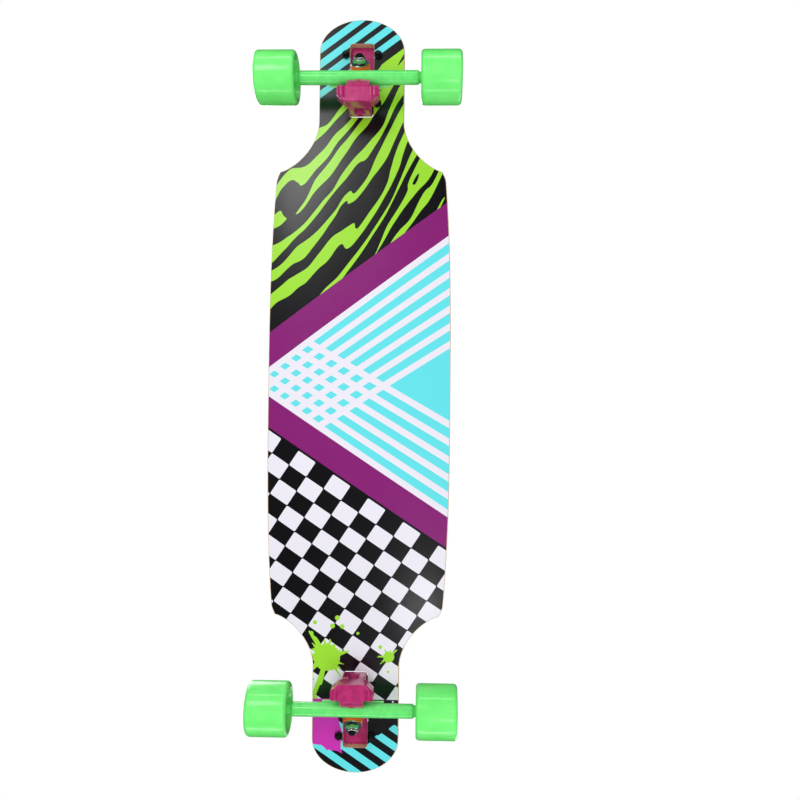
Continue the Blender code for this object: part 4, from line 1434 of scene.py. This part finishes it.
    def build_axle(self) -> None:
        """Make the axle, threaded at both ends, and its two nuts."""
        node = self.node("axle")
        low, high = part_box(node)
        half = (high.y - low.y) / 2
        r = 0.004
        upper = [(r, 0.0), (r, half - 0.0142)]
        upper += [(radius, z) for radius, z in thread(r, half - 0.0140, half - 0.0008, 0.00105, 0.0004)]
        upper += [(r - 0.0008, half), (0, half)]
        profile = [(radius, -z) for radius, z in reversed(upper)] + upper[1:]
        sideways = Matrix.Translation(self.axle_centre) @ Matrix.Rotation(-math.pi / 2, 4, "X")
        Piece(node + "_rod", (Look.ZINC,), (node,)).put(turned(profile, 40), self.node("hanger"), sideways)
        for hand, out in (("left", 1), ("right", -1)):
            node = self.node(hand + "_axle_nut")
            low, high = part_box(node)
            foot = low.y if out > 0 else -high.y
            nut = hex_nut(0.0125, high.y - low.y, r + 0.0001, 0.0008)
            for face in nut.faces:
                centre = face.calc_center_median()
                if centre.z > 0.0056 and centre.xy.length < 0.0046:
                    face.material_index = 1
            turn = Matrix.Rotation(-out * math.pi / 2, 4, "X")
            place = Matrix.Translation(self.axle_centre + Vector((0, out * foot, 0))) @ turn
            Piece(node + "_hex", (Look.ZINC, Look.INSERT), (node,)).put(nut, self.node("hanger"), place)

    def build(self) -> None:
        """Make the whole truck, without its wheels."""
        self.build_baseplate()
        self.build_hanger()
        self.build_pivot_cup()
        self.build_kingpin()
        self.build_bushings()
        self.build_bolts()
        self.build_axle()


# ------------------------------------------------------------------ wheels


@dataclass
class Wheel:
    """A urethane wheel on its core, with a bearing at each side."""

    truck: Truck
    hand: str
    lip: float = 0.0045
    core_radius: float = 0.0165
    core_half: float = 0.012
    bearing_radius: float = 0.011
    bearing_width: float = 0.007
    axle_radius: float = 0.0041

    def __post_init__(self) -> None:
        """Take the place and the overall sizes from the CAD tyre."""
        self.corner = f"{self.truck.end}_{self.hand}"
        low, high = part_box(self.corner + "_tyre")
        self.radius = (high.z - low.z) / 2
        self.half = (high.y - low.y) / 2
        out = 1 if self.hand == "left" else -1
        centre = Vector((self.truck.axle_centre.x, (low.y + high.y) / 2, self.truck.axle_centre.z))
        self.place = Matrix.Translation(centre) @ Matrix.Rotation(-out * math.pi / 2, 4, "X")

    def put(self, name: str, looks: tuple[Look, ...], node: str, shape: bmesh.types.BMesh) -> None:
        """Place one of the wheel's pieces on the wheel's body."""
        Piece(f"{self.corner}_{name}", looks, (f"{self.corner}_{node}",)).put(
            shape, self.corner + "_wheel", self.place
        )

    def tyre(self) -> bmesh.types.BMesh:
        """The urethane, dished on both faces down to the core."""
        seat = self.core_radius + 0.0003
        r = self.radius
        dish = [
            (seat, self.core_half - 0.0004),
            (seat + 0.0010, self.core_half + 0.0001),
            (seat + 0.0030, self.core_half + 0.0015),
            (seat + 0.0040, self.core_half + 0.0032),
            (r - 0.0085, self.half - 0.0022),
            (r - 0.0078, self.half - 0.0007),
            (r - 0.0068, self.half - 0.0001),
        ]
        upper = dish + arc((r - self.lip, self.half - self.lip), self.lip, 90, 0, 9)
        return turned(upper + [(radius, -z) for radius, z in reversed(upper)], 112, closed=True)

    def core(self) -> bmesh.types.BMesh:
        """The hub, with eight ribs round each bearing."""
        outer = self.core_radius
        seat = self.bearing_radius + 0.0003
        web = self.bearing_radius - 0.0025
        half = self.core_half
        groove = half - 0.0022
        upper = [
            (web, 0.0047),
            (seat, 0.0047),
            (seat, half - 0.0003),
            (seat + 0.0003, half),
            (seat + 0.0008, half),
            (seat + 0.0010, groove),
            (outer - 0.0013, groove),
            (outer - 0.0011, half),
            (outer - 0.0002, half),
            (outer, half - 0.0003),
        ]
        hub = turned(upper + [(radius, -z) for radius, z in reversed(upper)], 72, closed=True)
        steps = []
        for number in range(8):
            turn = Matrix.Rotation(math.pi * number / 4, 4, "Z")
            for low, high in ((groove - 0.001, half - 0.0003), (-half + 0.0003, -groove + 0.001)):
                bar = prism(
                    [
                        (seat + 0.0005, -0.0007),
                        (outer - 0.0009, -0.0007),
                        (outer - 0.0009, 0.0007),
                        (seat + 0.0005, 0.0007),
                    ],
                    low,
                    high,
                )
                steps.append(("UNION", moved(bar, turn)))
        return carved(hub, *steps)

    def bearing(self, middle: float) -> bmesh.types.BMesh:
        """A ball bearing: two races and the seals set back between them, with its middle at a height."""
        half = self.bearing_width / 2
        inner, outer = self.axle_radius, self.bearing_radius
        upper = [
            (inner, half - 0.0003),
            (inner + 0.0003, half),
            (inner + 0.0016, half),
            (inner + 0.0018, half - 0.0005),
            (outer - 0.0021, half - 0.0005),
            (outer - 0.0019, half - 0.0001),
            (outer - 0.0003, half),
            (outer, half - 0.0003),
        ]
        shape = turned(upper + [(radius, -z) for radius, z in reversed(upper)], 72, closed=True)
        for face in shape.faces:
            reach = face.calc_center_median().xy.length
            if inner + 0.0018 < reach < outer - 0.0021:
                face.material_index = 1
        return moved(shape, Matrix.Translation((0, 0, middle)))

    def build(self) -> None:
        """Make the wheel's pieces."""
        self.put("urethane", (Look.GREEN_WHEEL,), "tyre", self.tyre())
        self.put("hub", (Look.CORE,), "core", self.core())
        middle = self.core_half - self.bearing_width / 2
        self.put("race_outer", (Look.ZINC, Look.SEAL), "bearing_outer", self.bearing(middle))
        self.put("race_inner", (Look.ZINC, Look.SEAL), "bearing_inner", self.bearing(-middle))


# ------------------------------------------------------------------ studio


@dataclass
class Studio:
    """A plain pale floor, soft lights, and a camera that looks up at the printed underside."""

    camera_at: tuple[float, float, float] = (-0.032, 0.083, -0.925)
    tilt: tuple[float, float, float] = (1.7, 1.3, -0.5)  # degrees
    lens: float = 35.22
    floor_size: float = 9.0

    def place_camera(self) -> None:
        """Point the camera straight up, a little turned, with the nose at the top of the frame."""
        turn = Matrix.Identity(3)
        for angle, axis in zip(self.tilt, "XYZ"):
            turn = Matrix.Rotation(math.radians(angle), 3, axis) @ turn
        up, right, forward = turn.col[0], turn.col[1], turn.col[2]
        data = bpy.data.cameras.new("camera")
        data.lens = self.lens
        data.clip_start = 0.01
        data.clip_end = 50.0
        camera = bpy.data.objects.new("camera", data)
        bpy.context.scene.collection.objects.link(camera)
        facing = Matrix((right, up, -forward)).transposed().to_4x4()
        camera.matrix_world = Matrix.Translation(self.camera_at) @ facing
        bpy.context.scene.camera = camera

    def lay_floor(self) -> None:
        """Lay a floor under the wheels that shows only from above."""
        graph = Graph("pale_floor")
        cloud = graph.noise(graph.place(), 1.6, 2.0)
        graph.shade(
            base_color=graph.mix(cloud.eased(0.3, 0.7), (0.74, 0.74, 0.75), (0.78, 0.78, 0.785)),
            roughness=0.72 + 0.1 * cloud,
        )
        behind = graph.node("ShaderNodeNewGeometry", output="Backfacing")
        clear = graph.node("ShaderNodeBsdfTransparent")
        solid = Sock(graph, graph.shader.outputs[0])
        shown = graph.node("ShaderNodeMixShader", None, {0: behind, 1: solid, 2: clear})
        graph.fill(graph.output.inputs["Surface"], shown)
        half = self.floor_size / 2
        mesh = bmesh.new()
        bmesh.ops.create_grid(mesh, x_segments=1, y_segments=1, size=half)
        data = bpy.data.meshes.new("floor")
        mesh.to_mesh(data)
        mesh.free()
        data.materials.append(graph.material)
        floor = bpy.data.objects.new("floor", data)
        bpy.context.scene.collection.objects.link(floor)
        floor.visible_shadow = False
        floor.visible_diffuse = False
        floor.visible_glossy = False

    def light(
        self,
        name: str,
        at: tuple[float, float, float],
        size: Point,
        power: float,
        shows_in_gloss: bool = True,
        aim: tuple[float, float, float] = (0.0, 0.0, 0.05),
    ) -> None:
        """Add a soft rectangular light that faces a point and stays out of the picture.

        Args:
            name: Its name.
            at: Where it stands.
            size: Its width and its height.
            power: Its strength in watts.
            shows_in_gloss: False to keep it out of reflections.
            aim: What it faces.
        """
        data = bpy.data.lights.new(name, "AREA")
        data.shape = "RECTANGLE"
        data.size, data.size_y = size
        data.energy = power
        lamp = bpy.data.objects.new(name, data)
        bpy.context.scene.collection.objects.link(lamp)
        lamp.location = at
        lamp.rotation_euler = (Vector(aim) - Vector(at)).to_track_quat("-Z", "Y").to_euler()
        lamp.visible_camera = False
        lamp.visible_glossy = shows_in_gloss

    def light_world(self) -> None:
        """White behind the object, and a dimmer, even light from all round it."""
        world = bpy.data.worlds.new("studio")
        bpy.context.scene.world = world
        world.use_nodes = True
        tree = world.node_tree
        tree.nodes.clear()
        output = tree.nodes.new("ShaderNodeOutputWorld")
        path = tree.nodes.new("ShaderNodeLightPath")
        shown = None
        for strength, ray in ((0.42, ""), (0.03, "Is Glossy Ray"), (1.0, "Is Camera Ray")):
            side = tree.nodes.new("ShaderNodeBackground")
            side.inputs["Color"].default_value = (1.0, 1.0, 1.0, 1.0)
            side.inputs["Strength"].default_value = strength
            if shown is None:
                shown = side
                continue
            mixed = tree.nodes.new("ShaderNodeMixShader")
            tree.links.new(path.outputs[ray], mixed.inputs[0])
            tree.links.new(shown.outputs[0], mixed.inputs[1])
            tree.links.new(side.outputs[0], mixed.inputs[2])
            shown = mixed
        tree.links.new(shown.outputs[0], output.inputs["Surface"])

    def build(self) -> None:
        """Set up the camera, the floor and the lights."""
        bpy.context.scene.view_settings.view_transform = "Standard"
        self.place_camera()
        self.lay_floor()
        self.light_world()
        self.light("under_fill", (0.0, 0.0, -1.9), (2.6, 2.6), 29.0, shows_in_gloss=False)
        self.light("under_card", (0.93, -0.52, -1.5), (0.55, 0.55), 5.0)
        self.light("under_spot", (-0.74, 0.30, -1.5), (0.30, 0.30), 1.2)
        self.light("nose_strip", (1.75, 0.0, -0.55), (1.6, 0.25), 5.0)
        self.light("tail_strip", (-1.75, 0.0, -0.45), (1.6, 0.25), 5.0)
        self.light("key", (0.7, -1.0, 1.5), (1.3, 1.3), 26.0)
        self.light("fill", (-1.2, 1.1, 1.2), (1.5, 1.5), 12.0)


# ------------------------------------------------------------------ the whole board


def main() -> None:
    """Build every piece, then the camera, the floor and the lights."""
    logging.basicConfig(level=logging.INFO, format="%(name)s: %(message)s")
    trucks = [Truck("front"), Truck("rear")]
    deck = Deck()
    deck.build(trucks)
    Grip(deck).build(trucks)
    for truck in trucks:
        truck.build()
        for hand in ("left", "right"):
            Wheel(truck, hand).build()
    Studio().build()


if __name__ == "__main__":
    main()
